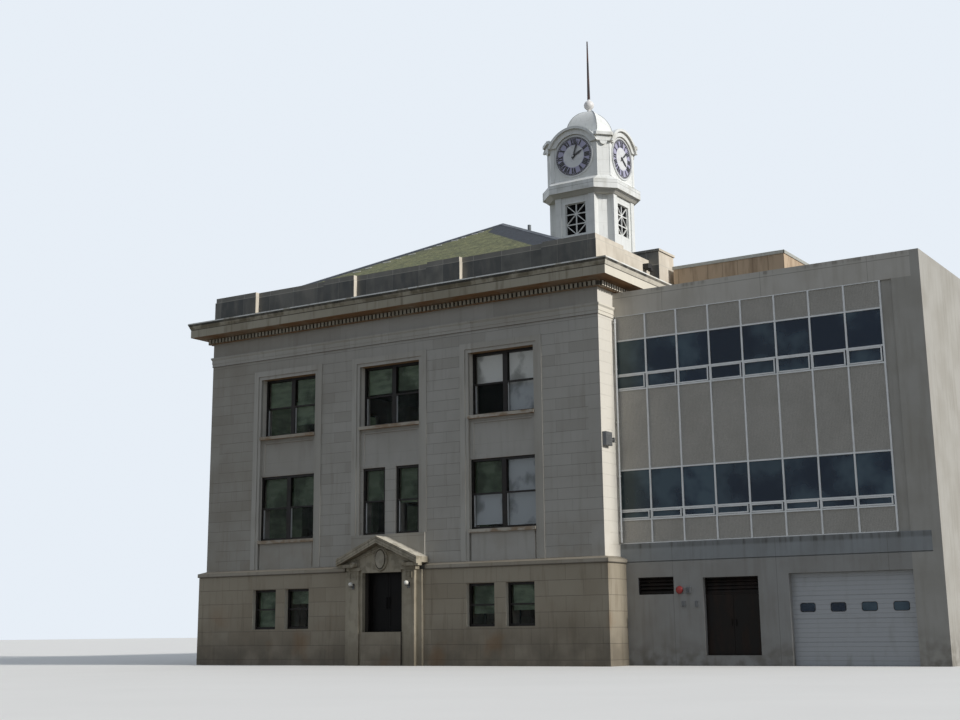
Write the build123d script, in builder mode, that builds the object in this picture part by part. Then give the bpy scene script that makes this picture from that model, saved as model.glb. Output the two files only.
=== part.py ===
"""Courthouse: a three-bay stone block with a hip roof and a clock tower, and a curtain-wall annex beside it.

Millimetres. X runs along the entrance front, Y goes into the building and Z goes up. The origin is on the
centre line of the front, under the face of its upper wall, level with the lowest ground the walls meet.
"""

from build123d import *
from collections import namedtuple
import math
import os

# Main block: plan and walls
facade_width = 18300
block_depth = 34000
wall_thickness = 700
plinth_out = 200
basement_top = 3420
belt_height, belt_fall = 230, 90
belt_out = 50
wall_top = 13070

# Bays and windows of the main block
front_bay = 5040
side_bay = 5150
side_bay_count = 6
window_width = 2820
surround_width = 350
surround_out = 30
surround_step_width = 130
surround_step_depth = 35
pocket_depth = 120
second_sill, second_head, second_reveal = 8930, 11280, 220
first_sill, first_head, first_reveal = 4780, 7320, 60
narrow_width, narrow_gap = 1070, 490
basement_window_width, basement_window_gap = 1180, 470
basement_sill, basement_head, basement_reveal = 1350, 2860, 180
sill_height = 120
sill_out = 60
apron_inset = 80
apron_out = 90
panel_inset = 160
panel_depth = 40
frame_border = 90
frame_mullion = 190
meeting_rail = 60
frame_depth = 110
glass_thickness = 10

# Entablature and parapet
architrave_bottom, architrave_height, architrave_out = 12090, 400, 80
cornice_top = 13930
cornice_out = 790
corona_out = 690
corona_bottom = 13330
bed_out, bed_height, bed_splay = 160, 180, 110
lip_height, cyma_height, cyma_fillet = 60, 220, 25
cornice_seat = 400
parapet_top = 14870
parapet_pier_width, corner_pier_width, parapet_recess = 1550, 2260, 200
coping_height, coping_inset = 190, 30
block_width, block_length, block_start, block_out, block_top = 1450, 1320, 4750, 200, 15480
block_coping_height, block_coping_out = 90, 45

# Roof
eave_inset = 500
eave_z = 14720
ridge_z = 18910
hip_run = 8030
roof_thickness = 250
roof_seat_drop = 200
hip_slot = 20
flashing_width, flashing_thickness = 320, 20
pipe_radius, pipe_height, pipe_x, pipe_behind_hip = 75, 280, 2460, 423.676

# Floors of the main block
floor_thickness = 250
ground_floor_z = 1200
first_floor_z = 3950
second_floor_z = 8050
attic_floor_z = 12300

# Entrance
door_width = 1820
door_head = 3350
portal_out = 250
pilaster_width = 600
pilaster_step_width, pilaster_step_depth = 130, 70
backing_width, backing_out = 240, 110
capital_height, capital_out = 120, 60
portal_bed = 3550
pediment_half = 1850
pediment_end_height = 330
pediment_apex = 4680
pediment_out = 350
bed_block_out, scroll_out = 245, 280
raking_height = 260
bed_block_length = 700
bed_block_height = 120
scroll_radius = 95
cartouche_width, cartouche_height, cartouche_out = 420, 660, 70
cartouche_z = 3830
porch_block_half, porch_block_top, porch_block_out = 1700, 4780, 60
door_frame_width = 50
door_frame_depth = 150
leaf_thickness = 50
leaf_gap = 5
hinge_gap = 15
leaf_clearance = 8
leaf_setback = 20
pivot_radius, pivot_depth, pivot_inset, pivot_clearance = 12, 30, 35, 0.4
panel_sunk = 12
stile_width, bottom_rail, lower_light, middle_rail = 110, 200, 650, 110
handle_radius, handle_height, handle_middle, handle_stand_off = 14, 420, 1050, 40
handle_foot_radius = 10
lamp_z = 2950
lamp_reach, lamp_radius, lamp_cup_radius, lamp_cup_height, lamp_seat = 170, 85, 51, 30, 10
lamp_plate_width, lamp_plate_height, lamp_plate_depth, lamp_arm = 110, 200, 20, 30

# Clock tower
tower_half = 1730
base_chamfer, clock_chamfer = 640, 430
corner_notch = 310
bracket_radius, bracket_out = 190, 110
tower_wall = 180
base_top = 21900
pier_width, pier_out = 330, 60
strip_width, strip_out = 200, 30
opening_width, opening_bottom, opening_top = 1120, 19980, 21550
lattice_bar = 55
lattice_depth = 60
lattice_rows = 3
skirt_out, skirt_foot_out, skirt_neck_out, skirt_crown_out = 370, 110, 300, 330
skirt_bottom, skirt_top = 22080, 22520
clock_bottom = 22780
dial_z = 23950
dial_radius = 1000
dial_depth, rim_width, rim_depth = 30, 70, 60
arch_radius, arch_inner_radius = 1500, 1120
arch_step_radius = 1370
arch_out, arch_step_out = 230, 120
corner_cornice_bottom, corner_cornice_step, corner_cornice_top = 24520, 24790, 24950
vault_radius = 1400
dome_half, dome_spring, dome_top = 870, 25480, 26800
dome_foot_half = 1250
ball_radius, ball_z = 255, 27150
neck_radius, neck_top_radius, neck_half_height = 110, 77, 60
spire_base_radius, spire_tip_radius, spire_tip_z = 75, 32, 30630
boss_radius, boss_length = 40, 130
boss_clearance = 0.5
hand_thickness = 12
hour_hand_length, minute_hand_length = 580, 850
hour_hand_offset, minute_hand_offset = 45, 70
hour_hand_width, minute_hand_width = 90, 60
front_time, right_time = (2, 3), (4, 8)

# Annex
annex_width = 11050
annex_front = 1150
annex_depth = 16000
annex_wall = 300
annex_top = 13020
fascia_bottom = 12150
band_bottom, band_top = 3430, 4080
band_groove = 30
module_count = 8
mullion_width, rail_height, mullion_depth = 60, 50, 150
pier_face = 940
jamb_width, jamb_recess = 370, 60
rows = (
    ("panel", 4080, 4890),
    ("glass", 4890, 5230),
    ("glass", 5230, 6620),
    ("panel", 6620, 9450),
    ("glass", 9450, 10010),
    ("glass", 10010, 11240),
    ("panel", 11240, 12150),
)
panel_thickness = 60
panel_setback = 40
louvre_start, louvre_width, louvre_bottom, louvre_top = 640, 1330, 2340, 2920
louvre_setback, louvre_depth = 60, 80
service_start, service_width, service_bottom, service_top = 3040, 1960, 330, 2860
service_handle_inset = 70
transom_height = 560
louvre_border, slat_pitch, slat_thickness = 40, 110, 12
slat_inset, slat_gap, slat_seat = 6, 8, 5
garage_start, garage_end, garage_top = 6050, 960, 2910
garage_setback = 230
garage_thickness = 60
garage_sections = 4
garage_groove_width, garage_groove_depth = 16, 10
garage_light_count = 4
garage_light_width, garage_light_height, garage_light_sunk = 520, 300, 15
service_setback = 180
transom_depth = 60
annex_floor_thickness = 250
annex_roof_z = 12600
annex_floors = (100, 4200, 8700, annex_roof_z)
penthouse_start, penthouse_front, penthouse_width = 400, 5600, 4500
penthouse_depth, penthouse_top = 5500, 14900

# Worked out from the sizes above
half_width = facade_width / 2
mid_depth = block_depth / 2
belt_top = basement_top + belt_height
annex_right = half_width + annex_width
annex_back = annex_front + annex_depth
door_half = door_width / 2
plinth_half = half_width + plinth_out
module_width = (annex_width - pier_face - jamb_width - mullion_width) / module_count
curtain_right = annex_right - pier_face - jamb_width
louvre_left = half_width + louvre_start
louvre_right = louvre_left + louvre_width
service_left = half_width + service_start
service_right = service_left + service_width
garage_left = half_width + garage_start
garage_right = annex_right - garage_end
penthouse_left = half_width + penthouse_start
entrance_pivot_x = door_half - door_frame_width - hinge_gap - pivot_inset
entrance_pivot_y = leaf_setback + leaf_thickness / 2
service_pivots_x = (service_left + hinge_gap + pivot_inset, service_right - hinge_gap - pivot_inset)
service_pivot_y = annex_front + service_setback + leaf_thickness / 2

Side = namedtuple("Side", "origin along outward half")
main_sides = {
    "front": Side((0, 0, 0), (1, 0, 0), (0, -1, 0), half_width),
    "left": Side((-half_width, mid_depth, 0), (0, -1, 0), (-1, 0, 0), mid_depth),
    "back": Side((0, block_depth, 0), (-1, 0, 0), (0, 1, 0), half_width),
    "right": Side((half_width, mid_depth, 0), (0, 1, 0), (1, 0, 0), mid_depth),
}
tower_sides = {
    "front": Side((0, mid_depth - tower_half, 0), (1, 0, 0), (0, -1, 0), tower_half),
    "left": Side((-tower_half, mid_depth, 0), (0, -1, 0), (-1, 0, 0), tower_half),
    "back": Side((0, mid_depth + tower_half, 0), (-1, 0, 0), (0, 1, 0), tower_half),
    "right": Side((tower_half, mid_depth, 0), (0, 1, 0), (1, 0, 0), tower_half),
}


def face_plane(side, outward=0):
    """A plane on a side: X along it, Y up and Z outward, moved outward by the given distance."""
    return Plane(side.origin, x_dir=side.along, z_dir=side.outward).offset(outward)


def section_plane(side):
    """A plane across a side at its middle: X outward and Y up."""
    return Plane(side.origin, x_dir=side.outward, z_dir=Vector(*side.along) * -1)


def plan_plane(side, z=0):
    """A level plane: X along the side and Y inward."""
    x, y, _ = side.origin
    return Plane((x, y, z), x_dir=side.along, z_dir=(0, 0, 1))


def block(x, y, z, mode=Mode.ADD):
    """A block between the given pairs of X, Y and Z."""
    with Locations((sum(x) / 2, sum(y) / 2, sum(z) / 2)):
        Box(x[1] - x[0], y[1] - y[0], z[1] - z[0], mode=mode)


def panels(side, areas, outward, mode=Mode.ADD):
    """Blocks on a side, all between the same pair of distances outward. An area is a pair along and a pair up."""
    if areas:
        with BuildSketch(face_plane(side, outward[0])) as outline:
            for u, z in areas:
                with Locations((sum(u) / 2, sum(z) / 2)):
                    Rectangle(u[1] - u[0], z[1] - z[0])
        extrude(outline.sketch, amount=outward[1] - outward[0], mode=mode)


def panel(side, u, z, outward, mode=Mode.ADD):
    """One block on a side, between the given pairs of distance along it, height and distance outward."""
    panels(side, [(u, z)], outward, mode)


def disc(side, z, radius, outward, mode=Mode.ADD):
    """A round plate on a side, centred at the given height, between the given pair of distances outward."""
    with BuildSketch(face_plane(side, outward[0])) as outline:
        with Locations((0, z)):
            Circle(radius)
    extrude(outline.sketch, amount=outward[1] - outward[0], mode=mode)


def rod(x, y, z, radius, mode=Mode.ADD):
    """An upright round bar between the given pair of Z."""
    with BuildSketch(Plane((x, y, z[0]))) as outline:
        Circle(radius)
    extrude(outline.sketch, amount=z[1] - z[0], mode=mode)


def stub(side, u, z, radius, outward):
    """A round bar that stands out of a side, between the given pair of distances outward."""
    with BuildSketch(face_plane(side, outward[0])) as outline:
        with Locations((u, z)):
            Circle(radius)
    extrude(outline.sketch, amount=outward[1] - outward[0])


def pivot_pin(x, y, seat, upward):
    """The pin that a door leaf turns on, standing on its seat or hanging from it."""
    reach = leaf_clearance + pivot_depth
    rod(x, y, (seat, seat + reach) if upward else (seat - reach, seat), pivot_radius)


def pivot_sockets(x, y, bottom, top):
    """The holes in a leaf's two ends for its pins."""
    depth = pivot_depth + leaf_clearance
    for z in ((bottom, bottom + depth), (top - depth, top)):
        rod(x, y, z, pivot_radius + pivot_clearance, mode=Mode.SUBTRACT)


def save(builder, name):
    """Labels a finished piece and writes it."""
    builder.part.label = name
    export_step(builder.part, f"parts/{name}.step")


def mitred_run(side, outline, margin=3000):
    """A moulding along one side of the main block, mitred at both corners. The outline is (outward, up)."""
    with BuildPart() as run:
        with BuildSketch(section_plane(side)):
            with BuildLine():
                Polyline(*outline, close=True)
            make_face()
        extrude(amount=side.half + margin, both=True)
        with BuildSketch(plan_plane(side)):
            Polygon(
                (-side.half - margin, -margin),
                (side.half + margin, -margin),
                (side.half - margin, margin),
                (-side.half + margin, margin),
                align=None,
            )
        extrude(amount=ridge_z, mode=Mode.INTERSECT)
    return run.part


def around(x, width):
    """The two ends of a width centred on x."""
    return (x - width / 2, x + width / 2)


# The bays of each side: the right side shows its bays only behind the annex.
side_bays = [(i - (side_bay_count - 1) / 2) * side_bay for i in range(side_bay_count)]
pocket_half = window_width / 2 + surround_width
bays = {
    "front": [-front_bay, 0, front_bay],
    "left": side_bays,
    "back": [-front_bay, 0, front_bay],
    "right": [u for u in side_bays if u - pocket_half > annex_back - mid_depth],
}
narrow_offset = (narrow_width + narrow_gap) / 2
basement_offset = (basement_window_width + basement_window_gap) / 2


def over_entrance(name, u):
    return name == "front" and u == 0


def bay_foot(name, u):
    """Where the sunk field of a bay starts: on the belt, or on the block over the entrance."""
    return porch_block_top if over_entrance(name, u) else belt_top


def second_windows(name):
    return [around(u, window_width) for u in bays[name]]


def first_windows(name):
    """Wide windows in each bay, but a narrow pair over the entrance."""
    windows = []
    for u in bays[name]:
        if over_entrance(name, u):
            windows += [around(-narrow_offset, narrow_width), around(narrow_offset, narrow_width)]
        else:
            windows.append(around(u, window_width))
    return windows


def basement_windows(name):
    """A pair of windows under each bay, but none beside the entrance."""
    centres = [u for u in bays[name] if not over_entrance(name, u)]
    return [around(u + s * basement_offset, basement_window_width) for u in centres for s in (-1, 1)]


def block_region(clearance=0):
    """Cuts the space of the two roof-level blocks out of the piece being made."""
    for sign in (-1, 1):
        outer = sign * (half_width + block_out + clearance)
        inner = sign * (half_width + block_out - block_width - clearance)
        y = (block_start - clearance, block_start + block_length + clearance)
        block(sorted((inner, outer)), y, (cornice_top, ridge_z), mode=Mode.SUBTRACT)


os.makedirs("parts", exist_ok=True)

# Basement: the plinth storey, split at the entrance
basement_z = (0, basement_top)
wall_y = (-plinth_out, wall_thickness)


def basement_openings(name):
    """Cuts the basement windows of a side through its wall."""
    areas = [(window, (basement_sill, basement_head)) for window in basement_windows(name)]
    panels(main_sides[name], areas, (plinth_out, -wall_thickness), mode=Mode.SUBTRACT)


with BuildPart() as basement_wall_front:
    block((-plinth_half, -door_half), wall_y, basement_z)
    block((door_half, plinth_half), wall_y, basement_z)
    basement_openings("front")
save(basement_wall_front, "basement_wall_front")

with BuildPart() as basement_wall_back:
    block((-plinth_half, plinth_half), (block_depth - wall_thickness, block_depth + plinth_out), basement_z)
    basement_openings("back")
save(basement_wall_back, "basement_wall_back")

with BuildPart() as basement_side_walls:
    for name in ("left", "right"):
        inner_half = mid_depth - wall_thickness
        panel(main_sides[name], (-inner_half, inner_half), basement_z, (plinth_out, -wall_thickness))
        basement_openings(name)
save(basement_side_walls, "basement_side_walls")

with BuildPart() as entrance_threshold:
    block((-door_half, door_half), (-plinth_out - portal_out, wall_thickness), (0, ground_floor_z))
    for sign in (-1, 1):
        pivot_pin(sign * entrance_pivot_x, entrance_pivot_y, ground_floor_z, upward=True)
save(entrance_threshold, "entrance_threshold")

# Belt course: a water table on the ledge of the plinth, open at the portal and where the annex abuts
belt_outline = [
    (0, basement_top),
    (plinth_out + belt_out, basement_top),
    (plinth_out + belt_out, belt_top - belt_fall),
    (0, belt_top),
]
belt_runs = [mitred_run(side, belt_outline) for side in main_sides.values()]
belt_reach = plinth_out + belt_out
with BuildPart() as belt_course:
    add(belt_runs)
    block((-pediment_half, pediment_half), (-belt_reach, 0), (basement_top, belt_top), mode=Mode.SUBTRACT)
    block((half_width, half_width + belt_reach), (annex_front, annex_back),
          (basement_top, belt_top), mode=Mode.SUBTRACT)
save(belt_course, "belt_course")


# Upper walls: sunk bays, windows cut through, and a backing leaf that carries the eaves
def upper_wall(name, half_length, leaf_half_length):
    side = main_sides[name]
    seat_z = eave_z - roof_seat_drop
    panel(side, (-half_length, half_length), (basement_top, wall_top), (0, -wall_thickness))
    panel(side, (-leaf_half_length, leaf_half_length), (wall_top, seat_z), (-cornice_seat, -wall_thickness))
    panels(side, [(around(u, 2 * pocket_half), (bay_foot(name, u), second_head + surround_width))
                  for u in bays[name]], (0, -pocket_depth), mode=Mode.SUBTRACT)
    spandrel = (first_head + panel_inset, second_sill - sill_height - panel_inset)
    panels(side, [(around(u, window_width - 2 * panel_inset), spandrel) for u in bays[name]],
           (-pocket_depth, -pocket_depth - panel_depth), mode=Mode.SUBTRACT)
    panels(side, [(around(u, window_width - 2 * apron_inset), (belt_top, first_sill - sill_height))
                  for u in bays[name] if not over_entrance(name, u)],
           (-pocket_depth, -pocket_depth + apron_out))
    openings = [(window, (second_sill, second_head)) for window in second_windows(name)]
    openings += [(window, (first_sill, first_head)) for window in first_windows(name)]
    panels(side, openings, (0, -wall_thickness), mode=Mode.SUBTRACT)


with BuildPart() as upper_wall_front:
    upper_wall("front", half_width, half_width - cornice_seat)
    block((-porch_block_half, porch_block_half), (-porch_block_out, 0), (belt_top, porch_block_top))
save(upper_wall_front, "upper_wall_front")

with BuildPart() as upper_wall_back:
    upper_wall("back", half_width, half_width - cornice_seat)
save(upper_wall_back, "upper_wall_back")

with BuildPart() as upper_wall_left:
    upper_wall("left", mid_depth - wall_thickness, mid_depth - wall_thickness)
    block_region()
save(upper_wall_left, "upper_wall_left")

with BuildPart() as upper_wall_right:
    upper_wall("right", mid_depth - wall_thickness, mid_depth - wall_thickness)
    block_region()
save(upper_wall_right, "upper_wall_right")

# Window surrounds: a stepped architrave on three sides of each bay
def bay_frames(name, width, head):
    """The areas of a side's bays, of the given width and head."""
    return [(around(u, width), (bay_foot(name, u), head)) for u in bays[name]]


with BuildPart() as window_surrounds:
    for name, side in main_sides.items():
        panels(side, bay_frames(name, 2 * pocket_half, second_head + surround_width),
               (-pocket_depth, surround_out))
        panels(side, bay_frames(name, window_width + 2 * surround_step_width, second_head + surround_step_width),
               (surround_out - surround_step_depth, surround_out), mode=Mode.SUBTRACT)
        panels(side, bay_frames(name, window_width, second_head),
               (-pocket_depth, surround_out), mode=Mode.SUBTRACT)
save(window_surrounds, "window_surrounds")

with BuildPart() as window_sills:
    for name, side in main_sides.items():
        areas = [(around(u, window_width), (second_sill - sill_height, second_sill)) for u in bays[name]]
        areas += [(around(u, window_width), (first_sill - sill_height, first_sill))
                  for u in bays[name] if not over_entrance(name, u)]
        panels(side, areas, (-pocket_depth, sill_out))
save(window_sills, "window_sills")


# Sash windows: a frame with one light above another in each column
def lights(window, height):
    """The glazed areas of a window, an upper and a lower one in each column."""
    columns = columns_of(window)
    sill, head = height
    middle = (sill + head) / 2
    inner_width = window[1] - window[0] - 2 * frame_border - (columns - 1) * frame_mullion
    width = inner_width / columns
    areas = []
    for column in range(columns):
        left = window[0] + frame_border + column * (width + frame_mullion)
        areas.append(((left, left + width), (sill + frame_border, middle - meeting_rail / 2)))
        areas.append(((left, left + width), (middle + meeting_rail / 2, head - frame_border)))
    return areas


def sash_frames(name, windows, height, depth):
    """The window frames of one row on one side, with their lights cut through."""
    side = main_sides[name]
    reach = (depth, depth - frame_depth)
    panels(side, [(window, height) for window in windows], reach)
    panels(side, [light for window in windows for light in lights(window, height)], reach, mode=Mode.SUBTRACT)


def columns_of(window):
    return 2 if window[1] - window[0] > 2 * narrow_width else 1


second_depth = -pocket_depth - second_reveal
first_depth = -pocket_depth - first_reveal
basement_depth = plinth_out - basement_reveal
window_rows = (
    (second_windows, (second_sill, second_head), second_depth),
    (first_windows, (first_sill, first_head), first_depth),
    (basement_windows, (basement_sill, basement_head), basement_depth),
)

with BuildPart() as upper_windows:
    for windows, height, depth in window_rows[:2]:
        for name in main_sides:
            sash_frames(name, windows(name), height, depth)
save(upper_windows, "upper_windows")

with BuildPart() as lower_windows:
    for name in main_sides:
        sash_frames(name, basement_windows(name), (basement_sill, basement_head), basement_depth)
save(lower_windows, "basement_windows")

with BuildPart() as window_glass:
    for windows, height, depth in window_rows:
        for name, side in main_sides.items():
            back = depth - frame_depth
            panels(side, [(window, height) for window in windows(name)], (back, back - glass_thickness))
save(window_glass, "window_glass")

# Entablature: a flat architrave, then the cornice with its bed, soffit, corona and lip
architrave_outline = [
    (0, architrave_bottom),
    (architrave_out / 3, architrave_bottom),
    (architrave_out / 3, architrave_bottom + architrave_height / 3),
    (architrave_out / 2, architrave_bottom + architrave_height / 3),
    (architrave_out / 2, architrave_bottom + architrave_height * 0.7),
    (architrave_out, architrave_bottom + architrave_height * 0.85),
    (architrave_out, architrave_bottom + architrave_height),
    (0, architrave_bottom + architrave_height),
]
architrave_runs = [mitred_run(side, architrave_outline) for side in main_sides.values()]
with BuildPart() as architrave_band:
    add(architrave_runs)
    block((half_width, half_width + cornice_out), (annex_front, annex_back),
          (architrave_bottom, architrave_bottom + architrave_height), mode=Mode.SUBTRACT)
save(architrave_band, "architrave_band")

lip_bottom = cornice_top - lip_height
cornice_outline = [
    (-cornice_seat, wall_top),
    (bed_out, wall_top),
    (bed_out, wall_top + bed_height),
    (bed_out + bed_splay, corona_bottom),
    (corona_out, corona_bottom),
    (corona_out, lip_bottom - cyma_height),
    (corona_out + cyma_fillet, lip_bottom - cyma_height * 0.75),
    (cornice_out - cyma_fillet, lip_bottom - cyma_height * 0.2),
    (cornice_out, lip_bottom),
    (cornice_out, cornice_top),
    (-cornice_seat, cornice_top),
]
end_runs = [mitred_run(main_sides[name], cornice_outline) for name in ("front", "back")]
side_runs = [mitred_run(main_sides[name], cornice_outline) for name in ("left", "right")]
with BuildPart() as cornice_ends:
    add(end_runs)
save(cornice_ends, "cornice_ends")

with BuildPart() as cornice_sides:
    add(side_runs)
save(cornice_sides, "cornice_sides")


# Parapet: panels set back between piers, which stand flush with the wall below
def parapet_run(name, half_length, z, inset=0):
    """The parapet of a side between the given pair of heights, with its faces drawn in by the inset."""
    side = main_sides[name]
    between = bays["front"] if name in ("front", "back") else side_bays[1:-1]
    piers = [around((a + b) / 2, parapet_pier_width - 2 * inset) for a, b in zip(between, between[1:])]
    corner = side.half - corner_pier_width + inset
    piers += [(-half_length, -corner), (corner, half_length)]
    inner_face = -cornice_seat + inset
    panel(side, (-half_length, half_length), z, (inner_face, -parapet_recess - inset))
    panels(side, [(pier, z) for pier in piers], (inner_face, -inset))


with BuildPart() as parapet_ends:
    for name in ("front", "back"):
        parapet_run(name, half_width, (cornice_top, parapet_top))
save(parapet_ends, "parapet_ends")

with BuildPart() as parapet_sides:
    for name in ("left", "right"):
        parapet_run(name, mid_depth - cornice_seat, (cornice_top, parapet_top))
    block_region()
save(parapet_sides, "parapet_sides")

with BuildPart() as parapet_coping:
    for name, side in main_sides.items():
        parapet_run(name, side.half - coping_inset, (parapet_top, parapet_top + coping_height), coping_inset)
    block_region()
save(parapet_coping, "parapet_coping")

with BuildPart() as roof_blocks:
    for sign in (-1, 1):
        outer = sign * (half_width + block_out)
        inner = sign * (half_width + block_out - block_width)
        y = (block_start, block_start + block_length)
        block(sorted((inner, outer)), y, (cornice_top, block_top - block_coping_height))
        block(sorted((inner, outer + sign * block_coping_out)), (y[0] - block_coping_out, y[1] + block_coping_out),
              (block_top - block_coping_height, block_top))
save(roof_blocks, "roof_blocks")


# Hip roof: two prisms crossed, hollowed below and parted along the hips and the ridge
def hip_form(rise):
    """The solid under the roof surface, raised by the given height, down to the eaves' seat."""
    half_x = half_width - eave_inset
    foot = eave_z - roof_seat_drop
    half_y = mid_depth - eave_inset
    with BuildPart() as form:
        with BuildSketch(Plane.XZ.offset(-mid_depth)):
            Polygon((-half_x, foot), (-half_x, eave_z + rise), (0, ridge_z + rise),
                    (half_x, eave_z + rise), (half_x, foot), align=None)
        extrude(amount=half_y, both=True)
        with BuildSketch(Plane.YZ):
            Polygon(
                (mid_depth - half_y, foot),
                (mid_depth - half_y, eave_z + rise),
                (mid_depth - half_y + hip_run, ridge_z + rise),
                (mid_depth + half_y - hip_run, ridge_z + rise),
                (mid_depth + half_y, eave_z + rise),
                (mid_depth + half_y, foot),
                align=None,
            )
        extrude(amount=half_x, both=True, mode=Mode.INTERSECT)
    return form.part


def hip_strips(width, mode):
    """Upright slabs of the given width along the four hips and the ridge."""
    half_x = half_width - eave_inset
    half_y = mid_depth - eave_inset
    ridge_half = half_y - hip_run
    lean = math.degrees(math.atan2(hip_run, half_x))
    length = math.hypot(hip_run, half_x)
    with BuildSketch(Plane((0, mid_depth, eave_z - roof_seat_drop))) as strips:
        Rectangle(width, 2 * ridge_half)
        for sx in (-1, 1):
            for sy in (-1, 1):
                middle = (sx * half_x / 2, sy * (ridge_half + hip_run / 2))
                with Locations(Location(middle, sx * sy * lean)):
                    Rectangle(length + 4 * width, width)
    extrude(strips.sketch, amount=ridge_z, mode=mode)


roof_form = hip_form(0)
roof_void = hip_form(-roof_thickness)
flashing_form = hip_form(flashing_thickness)

with BuildPart() as roof_planes:
    add(roof_form)
    add(roof_void, mode=Mode.SUBTRACT)
    hip_strips(hip_slot, Mode.SUBTRACT)
    block_region()
save(roof_planes, "roof_planes")

with BuildPart() as hip_flashing:
    add(flashing_form)
    add(roof_form, mode=Mode.SUBTRACT)
    hip_strips(flashing_width, Mode.INTERSECT)
    with Locations((0, mid_depth, ridge_z)):
        Box(2 * (tower_half + pier_out), 2 * (tower_half + pier_out), ridge_z, mode=Mode.SUBTRACT)
save(hip_flashing, "hip_flashing")

roof_half = half_width - eave_inset
roof_slope = (ridge_z - eave_z) / roof_half
pipe_y = eave_inset + hip_run * (1 - pipe_x / roof_half) + pipe_behind_hip
with BuildPart() as vent_pipe:
    rod(pipe_x, pipe_y, (eave_z, ridge_z - roof_slope * pipe_x + pipe_height), pipe_radius)
    add(roof_form, mode=Mode.SUBTRACT)
save(vent_pipe, "vent_pipe")

# Floors of the main block
with BuildPart() as main_floors:
    inner_x = (-half_width + wall_thickness, half_width - wall_thickness)
    inner_y = (wall_thickness, block_depth - wall_thickness)
    for top in (ground_floor_z, first_floor_z, second_floor_z, attic_floor_z):
        block(inner_x, inner_y, (top - floor_thickness, top))
save(main_floors, "main_floors")

# Entrance portal: stepped pilasters under a broken pediment with scrolls and a cartouche
front = main_sides["front"]
wall_face = plinth_out
portal_face = plinth_out + portal_out
with BuildPart() as portal_pilasters:
    for sign in (-1, 1):
        edge = sign * door_half
        inner = sign * (door_half + pilaster_step_width)
        outer = sign * (door_half + pilaster_width)
        back_edge = sign * (door_half + pilaster_width + backing_width)
        shaft = (0, portal_bed - capital_height)
        panel(front, sorted((edge, outer)), shaft, (wall_face, portal_face - pilaster_step_depth))
        panel(front, sorted((inner, outer)), shaft, (wall_face, portal_face))
        panel(front, sorted((edge, back_edge)), (0, basement_top), (wall_face, wall_face + backing_out))
        panel(front, sorted((edge, outer + sign * capital_out)), (portal_bed - capital_height, portal_bed),
              (wall_face, portal_face + capital_out))
save(portal_pilasters, "portal_pilasters")

end_z = portal_bed + pediment_end_height
with BuildPart() as portal_pediment:
    with BuildSketch(face_plane(front, porch_block_out)):
        Polygon((-door_half - pilaster_width, portal_bed), (door_half + pilaster_width, portal_bed),
                (pediment_half, portal_bed + bed_block_height), (pediment_half, end_z),
                (0, pediment_apex), (-pediment_half, end_z),
                (-pediment_half, portal_bed + bed_block_height), align=None)
    extrude(amount=portal_face - porch_block_out)
    panel(front, (-door_half, door_half), (door_head, portal_bed), (wall_face, portal_face))
    with BuildSketch(face_plane(front, portal_face)):
        Polygon((-pediment_half, end_z), (0, pediment_apex), (pediment_half, end_z),
                (pediment_half, end_z - raking_height), (0, pediment_apex - raking_height),
                (-pediment_half, end_z - raking_height), align=None)
    extrude(amount=pediment_out)
    for sign in (-1, 1):
        bed_end = sign * (pediment_half - bed_block_length)
        panel(front, sorted((bed_end, sign * pediment_half)), (portal_bed, portal_bed + bed_block_height),
              (portal_face, portal_face + bed_block_out))
        stub(front, bed_end, portal_bed + scroll_radius, scroll_radius,
             (portal_face, portal_face + scroll_out))
    with BuildSketch(face_plane(front, portal_face)):
        with Locations((0, cartouche_z)):
            Ellipse(cartouche_width / 2, cartouche_height / 2)
    extrude(amount=cartouche_out)
save(portal_pediment, "portal_pediment")

with BuildPart() as entrance_frame:
    frame_y = (0, -door_frame_depth)
    panel(front, (-door_half, door_half), (ground_floor_z, basement_top), frame_y)
    panel(front, (-door_half + door_frame_width, door_half - door_frame_width),
          (ground_floor_z, door_head), frame_y, mode=Mode.SUBTRACT)
    for sign in (-1, 1):
        pivot_pin(sign * entrance_pivot_x, entrance_pivot_y, door_head, upward=False)
save(entrance_frame, "entrance_frame")


def entrance_leaf(sign):
    """One panelled leaf of the entrance, in its frame, with a pull handle near the meeting edge."""
    outer = sign * (door_half - door_frame_width - hinge_gap)
    inner = sign * leaf_gap
    z = (ground_floor_z + leaf_clearance, door_head - leaf_clearance)
    face = -leaf_setback
    panel(front, sorted((inner, outer)), z, (face, face - leaf_thickness))
    low_top = z[0] + bottom_rail + lower_light
    for light in ((z[0] + bottom_rail, low_top), (low_top + middle_rail, z[1] - stile_width)):
        panel(front, sorted((inner + sign * stile_width, outer - sign * stile_width)), light,
              (face, face - panel_sunk), mode=Mode.SUBTRACT)
    pivot_sockets(sign * entrance_pivot_x, entrance_pivot_y, *z)
    handle_x = inner + sign * stile_width / 2
    middle = ground_floor_z + handle_middle
    rod(handle_x, -face - handle_stand_off, around(middle, handle_height), handle_radius)
    for end in around(middle, handle_height * 0.8):
        stub(front, handle_x, end, handle_foot_radius, (face, face + handle_stand_off))


with BuildPart() as entrance_door_left:
    entrance_leaf(-1)
save(entrance_door_left, "entrance_door_left")

with BuildPart() as entrance_door_right:
    entrance_leaf(1)
save(entrance_door_right, "entrance_door_right")

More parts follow.
